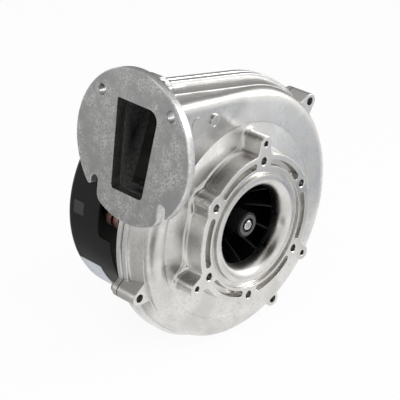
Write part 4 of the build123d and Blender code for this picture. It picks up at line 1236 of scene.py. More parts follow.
    def kidney_cups(self) -> list[np.ndarray]:
        """Pockets between the bolt holes, bent round the shaft, with half-round ends."""
        near, far = self.kidney
        middle, half = (near + far) / 2, (far - near) / 2
        cap = np.linspace(0, math.pi, 12)[1:-1]
        cups = []
        for index in range(6):
            first, last = (math.radians(angle + 60 * index) for angle in self.kidney_span)
            turn = np.linspace(first, last, 40)
            arc = np.stack([np.cos(turn), np.sin(turn)], -1)
            ends = [
                middle * np.array([math.cos(at), math.sin(at)])
                + half * np.stack([np.cos(at + flip + cap), np.sin(at + flip + cap)], -1)
                for at, flip in ((last, 0.0), (first, math.pi))
            ]
            loop = resample(np.vstack([far * arc, ends[0], near * arc[::-1], ends[1]]), 120)
            cups.append(raised(*self.sunk_rows(loop, self.kidney_depth, 0.35, 1.2)))
        return cups

    @staticmethod
    def sunk_rows(
        loop: np.ndarray, depth: float, edge: float, root: float
    ) -> tuple[np.ndarray, np.ndarray]:
        """Rows of a pocket's wall from its rounded rim down to its rounded root.

        Rows are the loop pushed out by edge (1 - sin t) and sunk by edge (1 - cos t) at the
        rim, and pulled in the same way at the floor.

        Args:
            loop: outline of the pocket, anticlockwise.
            depth: depth of the floor.
            edge: radius at the rim.
            root: radius at the floor, 0 for a wall that goes straight on.

        Returns:
            Loops (rows, points, 2) and their depths (rows,).
        """
        normal = outward(loop)
        rows = [loop + normal * edge * (1 - np.sin(step)) for step in quarter(4)]
        levels = [edge * (1 - np.cos(step)) for step in quarter(4)]
        for step in quarter(4) if root else [0.0]:
            rows.append(loop - normal * root * (1 - np.cos(step)))
            levels.append(depth - root * (1 - np.sin(step)))
        return np.stack(rows), np.array(levels)

    def disc_outline(self) -> np.ndarray:
        """Outline of the outlet disc in Y and Z: a circle with two open slots in its foot.

        Each slot is a half circle with two upright legs; the leg nearer the middle runs into
        the circle with a wide round, the other ends in a small one.
        """
        radius, half, side = self.disc_radius, self.slot_radius, self.slot_side
        line, radii = [], []

        def arc(first: float, last: float, count: int) -> None:
            """Add points of the big circle between two angles in degrees."""
            line.extend(tuple(polar(radius, angle)) for angle in np.linspace(first, last, count))
            radii.extend([0.0] * count)

        def foot(y: float, round_: float) -> None:
            """Add the corner where a leg meets the circle."""
            line.append((y, -math.sqrt(radius**2 - y**2)))
            radii.append(round_)

        def crown(y: float) -> None:
            """Add a slot's half circle, from its left leg over the top to its right one."""
            turns = np.linspace(math.pi, 0, 24)
            top = self.slot_crown
            line.extend((y + half * math.cos(t), top + half * math.sin(t)) for t in turns)
            radii.extend([0.0] * len(turns))

        near_tip, wide, far_tip = self.slot_rounds
        tip = math.degrees(math.acos((side + half) / radius))
        root = math.degrees(math.acos((side - half) / radius))
        arc(90, 180 + tip - 4.5, 160)
        foot(-side - half, near_tip)
        crown(-side)
        foot(half - side, wide)
        arc(180 + root + 6, 360 - root - 6, 60)
        foot(side - half, wide)
        crown(side)
        foot(side + half, far_tip)
        arc(4.5 - tip, 90, 160)
        return resample(rounded(line, radii, 9)[:-1], 620)

    def disc(self) -> Surface:
        """Outlet disc: its outline with rounded rims, its port, two sunk holes and both faces."""
        thick = self.disc_back - self.disc_face
        outline = self.disc_outline()
        normal = outward(outline)
        rows, levels = [], []
        for step in quarter(5)[::-1]:
            rows.append(outline - normal * self.disc_rim * (1 - math.cos(step)))
            levels.append(self.disc_rim * (1 - math.sin(step)))
        for step in quarter(4):
            rows.append(outline - normal * self.disc_back_rim * (1 - math.cos(step)))
            levels.append(thick - self.disc_back_rim * (1 - math.sin(step)))
        middle = np.array(self.disc_centre)
        worn = np.zeros((len(rows), len(outline)))
        worn[1:6] = 0.8
        wall = self.stood(np.stack(rows) + middle, np.array(levels))
        port = self.stood(*self.sunk_rows(self.port_loop(), thick, 0.4, 0.0))
        surface = Surface().grid(wall, wear=worn).grid(port)
        round_ = np.linspace(0, TURN, 56, endpoint=False)
        unit = np.stack([np.cos(round_), np.sin(round_)], -1)
        rim, sink, hole = self.screw_radii
        profile = rounded([(rim, 0), (sink, 0), (hole, 0.9), (hole, thick)], [0, 0.5, 0.5, 0], 4)
        profile = profile[1:]
        holes = []
        for side in (-self.slot_side, self.slot_side):
            centre = [middle[0] + side + self.screw_shift, self.screw_height]
            holes.append(self.stood(unit * profile[:, :1, None] + centre, profile[:, 1]))
            surface.grid(holes[-1])
        surface.fill([wall[0], port[0], *[hole[0] for hole in holes]])
        surface.fill([wall[-1], port[-1], *[hole[-1] for hole in holes]])
        return surface

    def stood(self, loops: np.ndarray, depths: np.ndarray) -> np.ndarray:
        """Loops (rows, points, 2) in Y and Z set at depths behind the disc's face along +X."""
        height = np.broadcast_to(depths[:, None], loops.shape[:2])
        return np.stack([self.disc_face + height, loops[..., 0], loops[..., 1]], -1)

    @staticmethod
    def port_loop() -> np.ndarray:
        """Port outline in Y and Z with its four rounded corners."""
        corners = [(8.9, 113.2), (19.2, 42.2), (52.3, 42.2), (52.3, 113.8)]
        return polygon_loop(corners, [8.0, 3.8, 2.4, 1.8], 220)

    def passage(self) -> Surface:
        """Floor and rear wall seen through the port, each a slab with a rounded edge.

        The floor ends at the tongue and the wall at a slanted line, past which the scroll's
        back lies deeper.
        """
        start, end = self.passage_start, self.passage_end
        count, edge, foot = 200, 0.6, 1.6
        # Painted highlight: every row of the rounded edge gets high wear, so the pale worn colour
        # lights the slab's edge against its painted shade.
        worn = np.full((6, count), 0.9)
        worn[0] = 0

        def slab(corners: list[tuple[float, float]], top: float) -> tuple[np.ndarray, np.ndarray]:
            """Rows of a slab from its foot to its rounded top, and their heights."""
            loop = polygon_loop(corners, [0.3] * len(corners), count)
            normal = outward(loop)
            rows = [loop] + [loop - normal * edge * (1 - math.cos(step)) for step in quarter(4)]
            heights = [top + foot] + [top + edge * (1 - math.sin(step)) for step in quarter(4)]
            return np.stack(rows), np.array(heights)

        wall = [(start, 41), (end, 41), (-76.0, 95.0), (-71.5, 113.5), (start, 113.5)]
        surface = Surface().capped(raised(*slab(wall, self.passage_back)), worn)
        floor = [(start, 17), (end, 17), (end, 53), (start, 53)]
        rows, heights = slab(floor, -self.passage_floor)
        height = np.broadcast_to(-heights[:, None], rows.shape[:2])
        return surface.capped(np.stack([rows[..., 0], rows[..., 1], height], -1), worn)

    def ear_rings(self) -> Surface:
        """The five screw ears of the front half."""
        surface = Surface()
        for index, place in enumerate(self.ears.places):
            front = self.ears.short_front if index in self.ears.short else self.ledge
            surface.grid(self.ears.ring(place, front, self.parting, 0.9), close_rows=True)
        return surface

    def stamp(self, place: tuple[float, float], radius: float, height: float) -> Surface:
        """Low blank disc on the duct's leaning face, with a dished middle and a rounded rim.

        Args:
            place: its middle in X and Z.
            radius: radius of the rim.
            height: height of the rim over the face; the middle lies a fifth lower.

        Returns:
            Closed surface.
        """
        axis = np.array([self.lean_x, -1.0, -self.lean_z])
        axis /= np.linalg.norm(axis)
        right = np.cross(axis, [0, 0, 1.0])
        right /= np.linalg.norm(right)
        up = np.cross(right, axis)
        centre = np.array([place[0], self.lean(*place), place[1]])
        dish = 0.8 * height
        profile = rounded(
            [(radius + 0.2, -1.2), (radius, height), (radius - 1.1, height), (radius - 1.3, dish),
             (0.2, dish)],
            [0, 0.2 * height, 0.1 * height, 0.1 * height, 0], 4,
        )
        round_ = np.linspace(0, TURN, 64, endpoint=False)[:, None]
        ring = profile[:, 0, None, None] * (np.cos(round_) * right + np.sin(round_) * up)
        return Surface().capped(centre + ring + profile[:, 1, None, None] * axis)

    def build(self) -> list[bpy.types.Object]:
        """Make the pieces and dress them."""
        cast, machined, flange = CAST.material(), MACHINED.material(), FLANGE.material()
        # Painted shade for the floor and wall seen through the port.
        shade_paint = DUCT_PAINTED_SHADE.material()

        def piece(
            surface: Surface, name: str, material: bpy.types.Material, *nodes: str
        ) -> bpy.types.Object:
            """Finish one piece of the casting."""
            return finished(surface, name, Body.HOUSING, material, nodes)

        shell = piece(self.shell(), "scroll_shell", cast, "front_housing")
        thick = shell.modifiers.new("wall", "SOLIDIFY")
        thick.thickness = self.wall * MM
        thick.offset = -1.0
        shell.modifiers.move(1, 0)
        return [
            shell,
            piece(self.inlet(), "inlet_flange", machined),
            piece(self.disc(), "outlet_disc", flange),
            piece(self.passage(), "port_passage", shade_paint),
            piece(self.ear_rings(), "front_ears", cast),
            piece(self.stamp((-46.4, 94.8), 5.5, 1.6), "blank_stamp", cast),
            piece(self.stamp((-69.3, 97.2), 5.2, 0.35), "faint_stamp", cast),
        ]


# Rear casting


@dataclass
class RearCasting:
    """Rear half of the housing: lip, shallow pan, screw ears and the ribs behind the duct."""

    line: ScrollLine = field(default_factory=ScrollLine)
    ears: EarLine = field(default_factory=EarLine)
    front: float = 48.3
    lip_back: float = 53.3
    pan_back: float = 56.1
    pan_draft: float = 1.2
    pan_inset: float = 6.0
    pocket: float = 53.6
    pocket_insets: tuple[float, float, float] = (6.8, 7.2, 7.2)
    pocket_end: float = -104.0
    hub: float = 9.5
    end: float = -106.0
    rib_heights: tuple[float, ...] = (56.0, 76.0, 96.0)
    rib_ends: tuple[float, float] = (-103.0, -69.0)
    rib_half: float = 1.5
    rib_crest: float = 2.6
    rib_edge: float = 0.9
    port_cut: tuple[float, float] = (-120.0, -103.0)

    def shell(self) -> Surface:
        """Closed shell: rows run from the joint round the lip and the pan, across the back to a
        round about the shaft, and out again across the pocket's floor."""
        size, line = self.line.size, self.line
        outer = rounded(
            [(line.lip_foot - 0.2, self.front), (line.lip_foot, self.front),
             (line.lip, self.front + line.lip_chamfer), (line.lip, self.lip_back),
             (0, self.lip_back), (-self.pan_draft, self.pan_back),
             (-self.pan_inset, self.pan_back)],
            [0, 0, line.lip_round, 0.8, 1.0, 1.3, 0], 4,
        )
        spokes = line.spokes()
        unit = np.stack([np.cos(spokes), np.sin(spokes)], -1)
        side = line.at(np.repeat(outer[:, :1], size, axis=1), self.end)
        insets = np.array(self.pocket_insets)[:, None]
        inner = line.at(-np.repeat(insets, size, axis=1), self.pocket_end)
        hub = unit * self.hub
        back = side[-1] + (hub - side[-1]) * np.array([0.2, 0.6, 1.0])[:, None, None]
        floor = hub + (inner[-1] - hub) * np.array([0.0, 0.4, 0.8])[:, None, None]
        loops = np.concatenate([side, back, floor, inner[::-1]])
        flat, sunk = [self.pan_back] * len(back), [self.pocket] * (len(floor) + 1)
        heights = np.concatenate([outer[:, 1], flat, sunk, [self.front + 0.4, self.front]])
        wear = np.zeros(loops.shape[:2])
        wear[1:10] = 0.7
        return Surface().grid(raised(loops, heights), close_rows=True, wear=wear)

    def ear_rings(self) -> Surface:
        """The five screw ears, with their rounded edge behind."""
        surface = Surface()
        for place in self.ears.places:
            ring = self.ears.ring(place, self.front, self.lip_back, 0.8)
            ring[..., 1] = self.front + self.lip_back - ring[..., 1]
            surface.grid(ring, close_rows=True)
        return surface

    def ribs(self) -> Surface:
        """Three bars with rounded crests across the back of the duct."""
        surface = Surface()
        first, last = self.rib_ends
        for height in self.rib_heights:
            low, high = height - self.rib_half, height + self.rib_half
            corners = [(first, low), (last, low), (last, high), (first, high)]
            loop = polygon_loop(corners, [1.2] * 4, 90)
            normal, edge = outward(loop), self.rib_edge
            rows = [loop] + [loop - normal * edge * (1 - np.cos(step)) for step in quarter(4)]
            top = self.pan_back + self.rib_crest
            levels = [self.pan_back - 1.0]
            levels += [top - edge * (1 - math.sin(step)) for step in quarter(4)]
            surface.capped(raised(np.stack(rows), np.array(levels)))
        return surface

    def build(self, front: FrontCasting) -> list[bpy.types.Object]:
        """Make the pieces and dress them.

        Args:
            front: front casting, whose port runs on through the rear half's end.

        Returns:
            The pieces.
        """
        cast = CAST.material()
        port = front.port_loop()
        rows = [np.insert(port, 0, depth, axis=1) for depth in self.port_cut]
        cutter = Surface().capped(np.stack(rows))
        shell = finished(
            self.shell(), "rear_shell", Body.HOUSING, cast, ("rear_housing",),
            cutter=cutter,
        )
        ears = finished(self.ear_rings(), "rear_ears", Body.HOUSING, cast)
        ribs = finished(self.ribs(), "duct_ribs", Body.HOUSING, cast)
        return [shell, ears, ribs]


# Impeller and shaft


@dataclass
class Impeller:
    """Moulded impeller: hub and disc in one, twelve backward-curved blades and a front ring."""

    radius: float = 74.0
    blades: int = 12
    thickness: float = 1.6
    tip: float = 0.3
    inner: float = 22.0
    root: float = 36.0
    steps: int = 26
    sweep: float = 16.0
    bow: float = 0.32
    start: float = math.radians(10.0)
    disc_front: float = 45.3
    disc_back: float = 47.3
    eye: float = 38.2
    eye_front: float = 13.4
    bend: float = 12.0
    bend_steps: int = 14
    slope: float = math.radians(10.0)
    ring_half: float = 0.75
    crest_from: float = 39.0
    bore: float = 8.92
    nose: tuple[float, float] = (10.4, 10.2)
    flare: float = 19.0
    flare_centre: tuple[float, float] = (29.4, 26.3)

    def meridian(self, shift: float) -> np.ndarray:
        """Line of the front ring as radius and Y: a round bend from the eye, then a straight
        slope to the rim.

        Args:
            shift: distance behind the middle of the ring's wall.

        Returns:
            Array (bend_steps + 1, 2).
        """
        centre = self.eye + self.ring_half + self.bend
        reach = self.bend + shift
        turn = np.linspace(math.pi, math.pi / 2 + self.slope, self.bend_steps)
        arc = np.stack([centre + reach * np.cos(turn), self.eye_front + reach * np.sin(turn)], 1)
        rim = arc[-1, 1] + (self.radius - arc[-1, 0]) * math.tan(self.slope)
        return np.vstack([arc, [[self.radius, rim]]])

    def ring(self) -> Surface:
        """Front ring: the meridian behind and before, joined by a round lip at the eye."""
        back, front = self.meridian(self.ring_half), self.meridian(-self.ring_half)
        lip = np.linspace(0, math.pi, 7)[1:-1]
        middle = (front[0] + back[0]) / 2
        half = abs(front[0, 0] - back[0, 0]) / 2
        crown = np.stack([middle[0] - half * np.cos(lip), middle[1] - half * np.sin(lip)], 1)
        profile = np.vstack([back, front[::-1], crown[::-1]])
        wear = np.zeros((len(profile), 180))
        wear[-5:] = 1.0
        return Surface().grid(revolved(profile, 180), close_rows=True, wear=wear)

    def blade_line(self) -> np.ndarray:
        """Line of a blade seen along the shaft: the quadratic through its inner end, a bowed
        middle and its swept outer end, as an array (steps, 2)."""
        ends = (
            polar(self.inner, 0),
            polar((self.inner + self.radius) / 2, -self.sweep * self.bow),
            polar(self.radius - 0.4, -self.sweep),
        )
        share = np.linspace(0, 1, self.steps)[:, None]
        return (
            ends[0] * (1 - share) * (1 - 2 * share)
            + ends[1] * 4 * share * (1 - share)
            + ends[2] * share * (2 * share - 1)
        )

    def blade_set(self) -> Surface:
        """The blades.

        A blade's section is its line pushed half the thickness to each side, with thin ends.
        Its front edge rises from the root to the eye and then follows the back of the ring.
        """
        line = self.blade_line()
        along = np.gradient(line, axis=0)
        along /= np.linalg.norm(along, axis=1, keepdims=True)
        normal = np.stack([-along[:, 1], along[:, 0]], 1)
        half = self.thickness / 2 * np.ones((self.steps, 1))
        half[0] = half[-1] = self.tip
        section = np.vstack([line + normal * half, (line - normal * half)[::-1]])
        middle = np.vstack([line, line[::-1]])
        reach = np.linalg.norm(middle, axis=1)
        back = self.meridian(self.ring_half + 0.05)
        back = back[np.argsort(back[:, 0])]
        lead = np.array([[self.inner, self.root], [self.crest_from, self.eye_front + 0.6]])
        path = np.vstack([lead, back[back[:, 0] >= self.crest_from]])
        crest = np.interp(reach, path[:, 0], path[:, 1])
        foot = np.full(len(reach), self.disc_front + 0.5)
        rows = np.stack([middle, section, section, (section + middle) / 2, middle])
        heights = np.stack([foot, foot, crest + 0.5, crest + 0.1, crest])
        worn = np.zeros(rows.shape[:2])
        worn[2:] = 1.0
        blade = raised(rows, heights)
        surface = Surface()
        for turn in self.start + np.arange(self.blades) * TURN / self.blades:
            cos, sin = math.cos(turn), math.sin(turn)
            surface.grid(blade @ np.array([[cos, 0, sin], [0, 1, 0], [-sin, 0, cos]]), wear=worn)
        return surface

    def wheel(self) -> Surface:
        """Hub and disc as one turned profile with an arc for its flare, and the blades."""
        turn = np.linspace(math.pi, math.pi / 2, self.bend_steps)
        across, along = self.flare_centre
        flare = [across + self.flare * np.cos(turn), along + self.flare * np.sin(turn)]
        brow, tip = self.nose
        nose = [(self.bore, self.disc_back), (self.bore, tip), (brow, tip), (brow, 20)]
        disc = [(60, self.disc_front), (self.radius, self.disc_front),
                (self.radius, self.disc_back), (40, self.disc_back)]
        profile = np.vstack(
            [
                rounded(nose, [0, 0.3, 0.5, 0], 4),
                np.stack(flare, 1),
                rounded(disc, [0, 0.5, 0.5, 0], 3),
            ]
        )
        wear = np.zeros((len(profile), 160))
        wear[3:9] = 0.8
        turned = Surface().grid(revolved(profile, 160), close_rows=True, wear=wear)
        return turned.add(self.blade_set())

    def build(self) -> list[bpy.types.Object]:
        """Make the pieces and dress them."""
        black = BLACK_GLOSS.material()
        return [
            finished(self.wheel(), "impeller_wheel", Body.ROTOR, black,
                     ("impeller",)),
            finished(self.ring(), "impeller_ring", Body.ROTOR, black,
                     ("impeller_shroud",)),
        ]


@dataclass
class ShaftEnd:
    """Steel bush in the hub, the shaft and the open clip in its groove."""

    shaft_radius: float = 4.0
    shaft_ends: tuple[float, float] = (9.0, 102.0)
    chamfer: float = 0.5
    bush_radius: float = 8.9
    bush_ends: tuple[float, float] = (9.4, 35.4)
    pocket: tuple[float, float] = (6.0, 11.7)
    groove_radius: float = 3.3
    groove: tuple[float, float] = (10.5, 11.3)
    clip_radius: float = 5.4
    clip_mouth: float = 1.6

    def bush(self) -> Surface:
        """Bush with a stepped pocket in its nose, as a turned closed profile."""
        bore, (wide, floor) = self.shaft_radius + 0.02, self.pocket
        first, last = self.bush_ends
        profile = rounded(
            [(bore, 20), (bore, floor), (wide, floor), (wide, first), (self.bush_radius, first),
             (self.bush_radius, last), (bore, last), (bore, 19.9)],
            [0, 0.2, 0.3, 0.35, 0.5, 0.5, 0.3, 0], 4,
        )
        wear = np.zeros((len(profile), 96))
        wear[11:21] = 0.8
        return Surface().grid(revolved(profile, 96), close_rows=True, wear=wear)

    def shaft(self) -> Surface:
        """Shaft with chamfered ends and its clip groove."""
        full, cut = self.shaft_radius, self.chamfer
        (first, last), (near, far) = self.shaft_ends, self.groove
        profile = rounded(
            [(0.3, first), (full - cut, first), (full, first + cut), (full, near),
             (self.groove_radius, near), (self.groove_radius, far), (full, far),
             (full, last - cut), (full - cut, last), (0.3, last)],
            [0, 0.15, 0.15, 0.05, 0.1, 0.1, 0.05, 0.15, 0.15, 0], 3,
        )
        wear = np.zeros((len(profile), 64))
        wear[1:8] = 0.9
        return Surface().capped(revolved(profile, 64), wear)

    def clip(self) -> Surface:
        """Open ring: a rounded square section carried round all but the mouth at its foot."""
        play = 0.02
        root, (near, far) = self.groove_radius + play, self.groove
        half = math.asin(self.clip_mouth / (self.clip_radius - 1.0))
        turn = np.linspace(-math.pi / 2 + half, 1.5 * math.pi - half, 60)[:, None]
        corners = [(root, near + play), (self.clip_radius, near + play),
                   (self.clip_radius, far - play), (root, far - play)]
        radius, along = polygon_loop(corners, [0.2] * 4, 20).T
        rows = [radius * np.cos(turn), along + 0 * turn, radius * np.sin(turn)]
        return Surface().capped(np.stack(rows, -1))

    def build(self) -> list[bpy.types.Object]:
        """Make the pieces and dress them."""
        bright = BRIGHT.material()
        return [
            finished(self.bush(), "steel_bush", Body.ROTOR, BUSH.material(),
                     ("hub_bush",)),
            finished(self.shaft(), "turned_shaft", Body.ROTOR, bright, ("shaft",)),
            finished(self.clip(), "open_clip", Body.ROTOR,
                     BLACK_SPRING.material(), ("shaft_clip",)),
        ]


# Motor cover and what shows in its window


@dataclass
class MotorCover:
    """Round moulded cover with three windows in its rim, and a bare label plate."""

    radius: float = 92.0
    front: float = 72.0
    back: float = 124.0
    wall: float = 2.5
    rounding: float = 7.0
    recess: tuple[float, float] = (46.6, 45.8)
    recess_floor: float = 122.8
    recess_inside: float = 120.9
    post_circle: float = 74.0
    posts: tuple[float, ...] = (40.0, 140.0, -80.0)
    windows: tuple[float, ...] = (170.0, 50.0, -70.0)
    window_half: float = math.radians(20.0)
    window_back: float = 85.5
    sockets: tuple[tuple[float, float], ...] = ((15.0, 22.6), (-9.0, 17.6))
    socket_span: tuple[float, float] = (93.2, 106.3)

    def shell(self) -> Surface:
        """Turned closed profile: rim, outer wall, rounded back with a low recess, inner wall.

        A small plug closes the middle, where the profile stops short of the shaft's line.
        """
        inner, (brim, sunk) = self.radius - self.wall, self.recess
        floor, inside = self.recess_floor, self.recess_inside
        profile = rounded(
            [(inner, 90), (inner, self.front), (self.radius, self.front),
             (self.radius, self.back), (brim, self.back), (sunk, floor), (3, floor), (3, inside),
             (inner, self.back - self.wall), (inner, 89.9)],
            [0, 0.5, 0.6, self.rounding, 0.5, 0.6, 0, 0, self.rounding - self.wall, 0], 7,
        )
        wear = np.zeros((len(profile), 300))
        wear[2:16] = 0.35
        surface = Surface().grid(revolved(profile, 300), close_rows=True, wear=wear)
        plug = rounded([(0.3, inside), (3.4, inside), (3.4, floor), (0.3, floor)], [0] * 4)
        return surface.capped(revolved(plug, 300))

    def bosses(self) -> Surface:
        """Three tubes inside the cover that take its screws."""
        surface = Surface()
        profile = rounded([(2.15, 122), (2.15, 116), (6, 116), (6, 122)], [0, 0.3, 0.5, 0], 3)
        for angle in self.posts:
            centre = tuple(polar(self.post_circle, angle))
            surface.grid(revolved(profile, 48, centre), close_rows=True)
        return surface

    def cuts(self) -> Surface:
        """Windows, screw sinks and the two socket mouths."""
        surface = Surface()
        half = self.radius * math.sin(self.window_half)
        for angle in self.windows:
            turn = math.radians(angle)
            out = np.array([math.cos(turn), 0, math.sin(turn)])
            side = np.array([-math.sin(turn), 0, math.cos(turn)])
            corners = [(-half, 60), (half, 60), (half, self.window_back), (-half, self.window_back)]
            loop = polygon_loop(corners, [1, 1, 4, 4], 140)
            flat = loop[:, :1] * side + loop[:, 1:] * np.array([0, 1.0, 0])
            surface.capped(np.stack([flat + out * 62, flat + out * 96]))
        sink = rounded(
            [(4.8, 125), (4.8, 124.05), (4.2, 123.7), (4.2, 119), (2.1, 119), (2.1, 114)],
            [0, 0, 0.4, 0, 0, 0], 3,
        )
        for angle in self.posts:
            surface.capped(revolved(sink, 48, tuple(polar(self.post_circle, angle))))
        near, far = self.socket_span
        for middle, width in self.sockets:
            low, high = middle - width / 2, middle + width / 2
            loop = polygon_loop([(near, low), (far, low), (far, high), (near, high)], [0.8] * 4, 60)
            surface.capped(np.stack([np.insert(loop, 0, x, axis=1) for x in (96.0, 80.0)]))
        return surface

    def plate(self, angle: float, along: float, half: tuple[float, float]) -> Surface:
        """Bare plate bent round the rim: a rounded rectangle wrapped at the cover's radius.

        Args:
            angle: middle of the plate about the shaft, in degrees.
            along: middle of the plate in Y.
            half: half its length round the rim and half its width along Y.

        Returns:
            Closed surface.
        """
        across, width = half
        corners = [(-across, -width), (across, -width), (across, width), (-across, width)]
        outline = polygon_loop(corners, [1.2] * 4, 200)
        shrink = np.array([1.0, 1.0, 0.992, 0.98, 0.75, 0.5, 0.25, 0.02])[:, None, None]
        lift = np.array([-0.3, 0.14, 0.2, 0.22, 0.22, 0.22, 0.22, 0.22])[:, None]
        flat = outline * shrink
        turn = math.radians(angle) - flat[..., 0] / self.radius
        reach = self.radius + lift + 0 * turn
        rows = [reach * np.cos(turn), along + flat[..., 1], reach * np.sin(turn)]
        return Surface().capped(np.stack(rows, -1))

    def build(self) -> list[bpy.types.Object]:
        """Make the pieces and dress them."""
        black = BLACK_SATIN.material()
        return [
            finished(self.shell(), "cover_shell", Body.HOUSING, black,
                     ("motor_cover",), cutter=self.cuts()),
            finished(self.bosses(), "cover_bosses", Body.HOUSING, black),
            finished(self.plate(-134.6, 105.0, (22.6, 12.6)), "bare_label", Body.HOUSING,
                     LABEL.material()),
            finished(self.plate(179.3, 108.5, (5.5, 6.0)), "bare_tag", Body.HOUSING,
                     TAG.material()),
        ]


@dataclass
class Choke:
    """Two copper windings on the choke's former, wound in close turns."""

    centre: tuple[float, float] = (-65.638, -6.899)
    middles: tuple[float, float] = (93.4, 85.2)
    half: float = 3.45
    radius: float = 8.04
    core: float = 3.45
    wire: float = 0.62
    swell: float = 0.15
    steps: int = 72

    def windings(self) -> Surface:
        """Both windings, each a drum with the turns of its outer layer standing out.

        The drum's radius is top + swell |cos(pi (y / wire - t / 2 pi))|, so the crests climb
        by one wire a round; the top falls towards both ends with the sixth power of y.
        """
        surface = Surface()
        turn = np.linspace(0, TURN, self.steps, endpoint=False)
        along = np.linspace(-self.half, self.half, self.steps)[:, None]
        crest = np.abs(np.cos(math.pi * (along / self.wire - turn / TURN)))
        crown = 1 - 0.4 * (along / self.half) ** 6
        outer = self.core + (self.radius - self.core) * crown + self.swell * crest
        root = np.full((1, self.steps), self.core)
        reach = np.concatenate([root, outer, root])
        across = self.centre[0] + reach * np.cos(turn)
        up = self.centre[1] + reach * np.sin(turn)
        worn = np.vstack([0 * crest[:1], crest, 0 * crest[:1]]) * 0.6
        for middle in self.middles:
            height = middle + np.concatenate([[[-self.half]], along, [[self.half]]])
            points = np.stack([across, height + 0 * turn, up], -1)
            surface.grid(points, close_rows=True, wear=worn)
        return surface

    def build(self) -> list[bpy.types.Object]:
        """Make the piece and dress it."""
        return [
            finished(self.windings(), "wound_copper", Body.HOUSING, COPPER.material(),
                     ("choke_windings",)),
        ]


@dataclass
class Carried:
    """CAD nodes that keep their own shape, or a copy with softened edges."""

    softened: tuple[tuple[str, str, float], ...] = (
        ("housing_screws", "cap_screws", 0.35),
        ("cover_screws", "cover_cap_screws", 0.3),
        ("front_bracket", "front_motor_bracket", 0.5),
        ("rear_bracket", "rear_motor_bracket", 0.5),
        ("mains_socket", "mains_plug_socket", 0.3),
        ("control_socket", "control_plug_socket", 0.3),
        ("heat_sink", "finned_sink", 0.25),
        ("support_posts", "hex_posts", 0.3),
        ("mount_screws", "mount_cap_screws", 0.3),
        ("bracket_bolts", "hex_bolts", 0.3),
        ("rubber_mounts", "rubber_feet", 0.5),
    )

    def build(self) -> list[bpy.types.Object]:
        """Dress every node left, and make the softened copies."""
        slots = {row["node"]: row["material_slot"] for row in frame["record"]["subparts"]}
        made = []
        for node, name, edge in self.softened:
            material = SLOT_FINISH[slots[node]].material()
            piece = merged_copy(node, name, material, edge)
            made.append(piece)
        for node, item in frame["nodes"].items():
            item.data.materials.clear()
            item.data.materials.append(SLOT_FINISH[slots[node]].material())
        return made


# Studio


@dataclass(frozen=True)
class Card:
    """Flat rectangle of the studio, in metres: the floor, or a card that the metal mirrors."""

    name: str
    tone: tuple[float, float, float]
    centre: tuple[float, float, float]
    width: float
    height: float
    facing: tuple[float, float, float] = (0.0, 0.0, 1.0)

    def place(self, material: bpy.types.Material) -> bpy.types.Object:
        """Make the rectangle in the given material and hand it to the studio."""
        out = Vector(self.facing).normalized()
        side = Vector((0, 1, 0)) if abs(out.z) > 0.9 else Vector((0, 0, 1)).cross(out).normalized()
        up = out.cross(side)
        corners = [
            Vector(self.centre) + side * x * self.width / 2 + up * y * self.height / 2
            for x, y in ((-1, -1), (1, -1), (1, 1), (-1, 1))
        ]
        mesh = bpy.data.meshes.new(self.name)
        mesh.from_pydata([tuple(corner) for corner in corners], [], [(0, 1, 2, 3)])
        mesh.materials.append(material)
        card = bpy.data.objects.new(self.name, mesh)
        bpy.context.scene.collection.objects.link(card)
        return card

    def flag(self) -> None:
        """Place the card glowing in its tone, seen by the metal's mirroring alone."""
        made = bpy.data.materials.new(self.name)
        made.use_nodes = True
        tree = made.node_tree
        glow = tree.nodes.new("ShaderNodeEmission")
        glow.inputs["Color"].default_value = (*self.tone, 1)
        tree.links.new(glow.outputs[0], tree.nodes["Material Output"].inputs["Surface"])
        card = self.place(made)
        card.visible_camera = False
        card.visible_shadow = False
        card.visible_diffuse = False
        card.visible_transmission = False


@dataclass(frozen=True)
class Lamp:
    """Square soft lamp, in metres and watts, turned to the studio's middle."""

    name: str
    place: tuple[float, float, float]
    power: float
    size: float
    mirrored: bool

    def build(self, aim: tuple[float, float, float]) -> None:
        """Hang the lamp and turn it towards aim."""
        data = bpy.data.lights.new(self.name, "AREA")
        data.energy = self.power
        data.size = self.size
        lamp = bpy.data.objects.new(self.name, data)
        bpy.context.scene.collection.objects.link(lamp)
        lamp.location = self.place
        lamp.visible_glossy = self.mirrored
        line = Vector(aim) - Vector(self.place)
        lamp.rotation_euler = line.to_track_quat("-Z", "Y").to_euler()


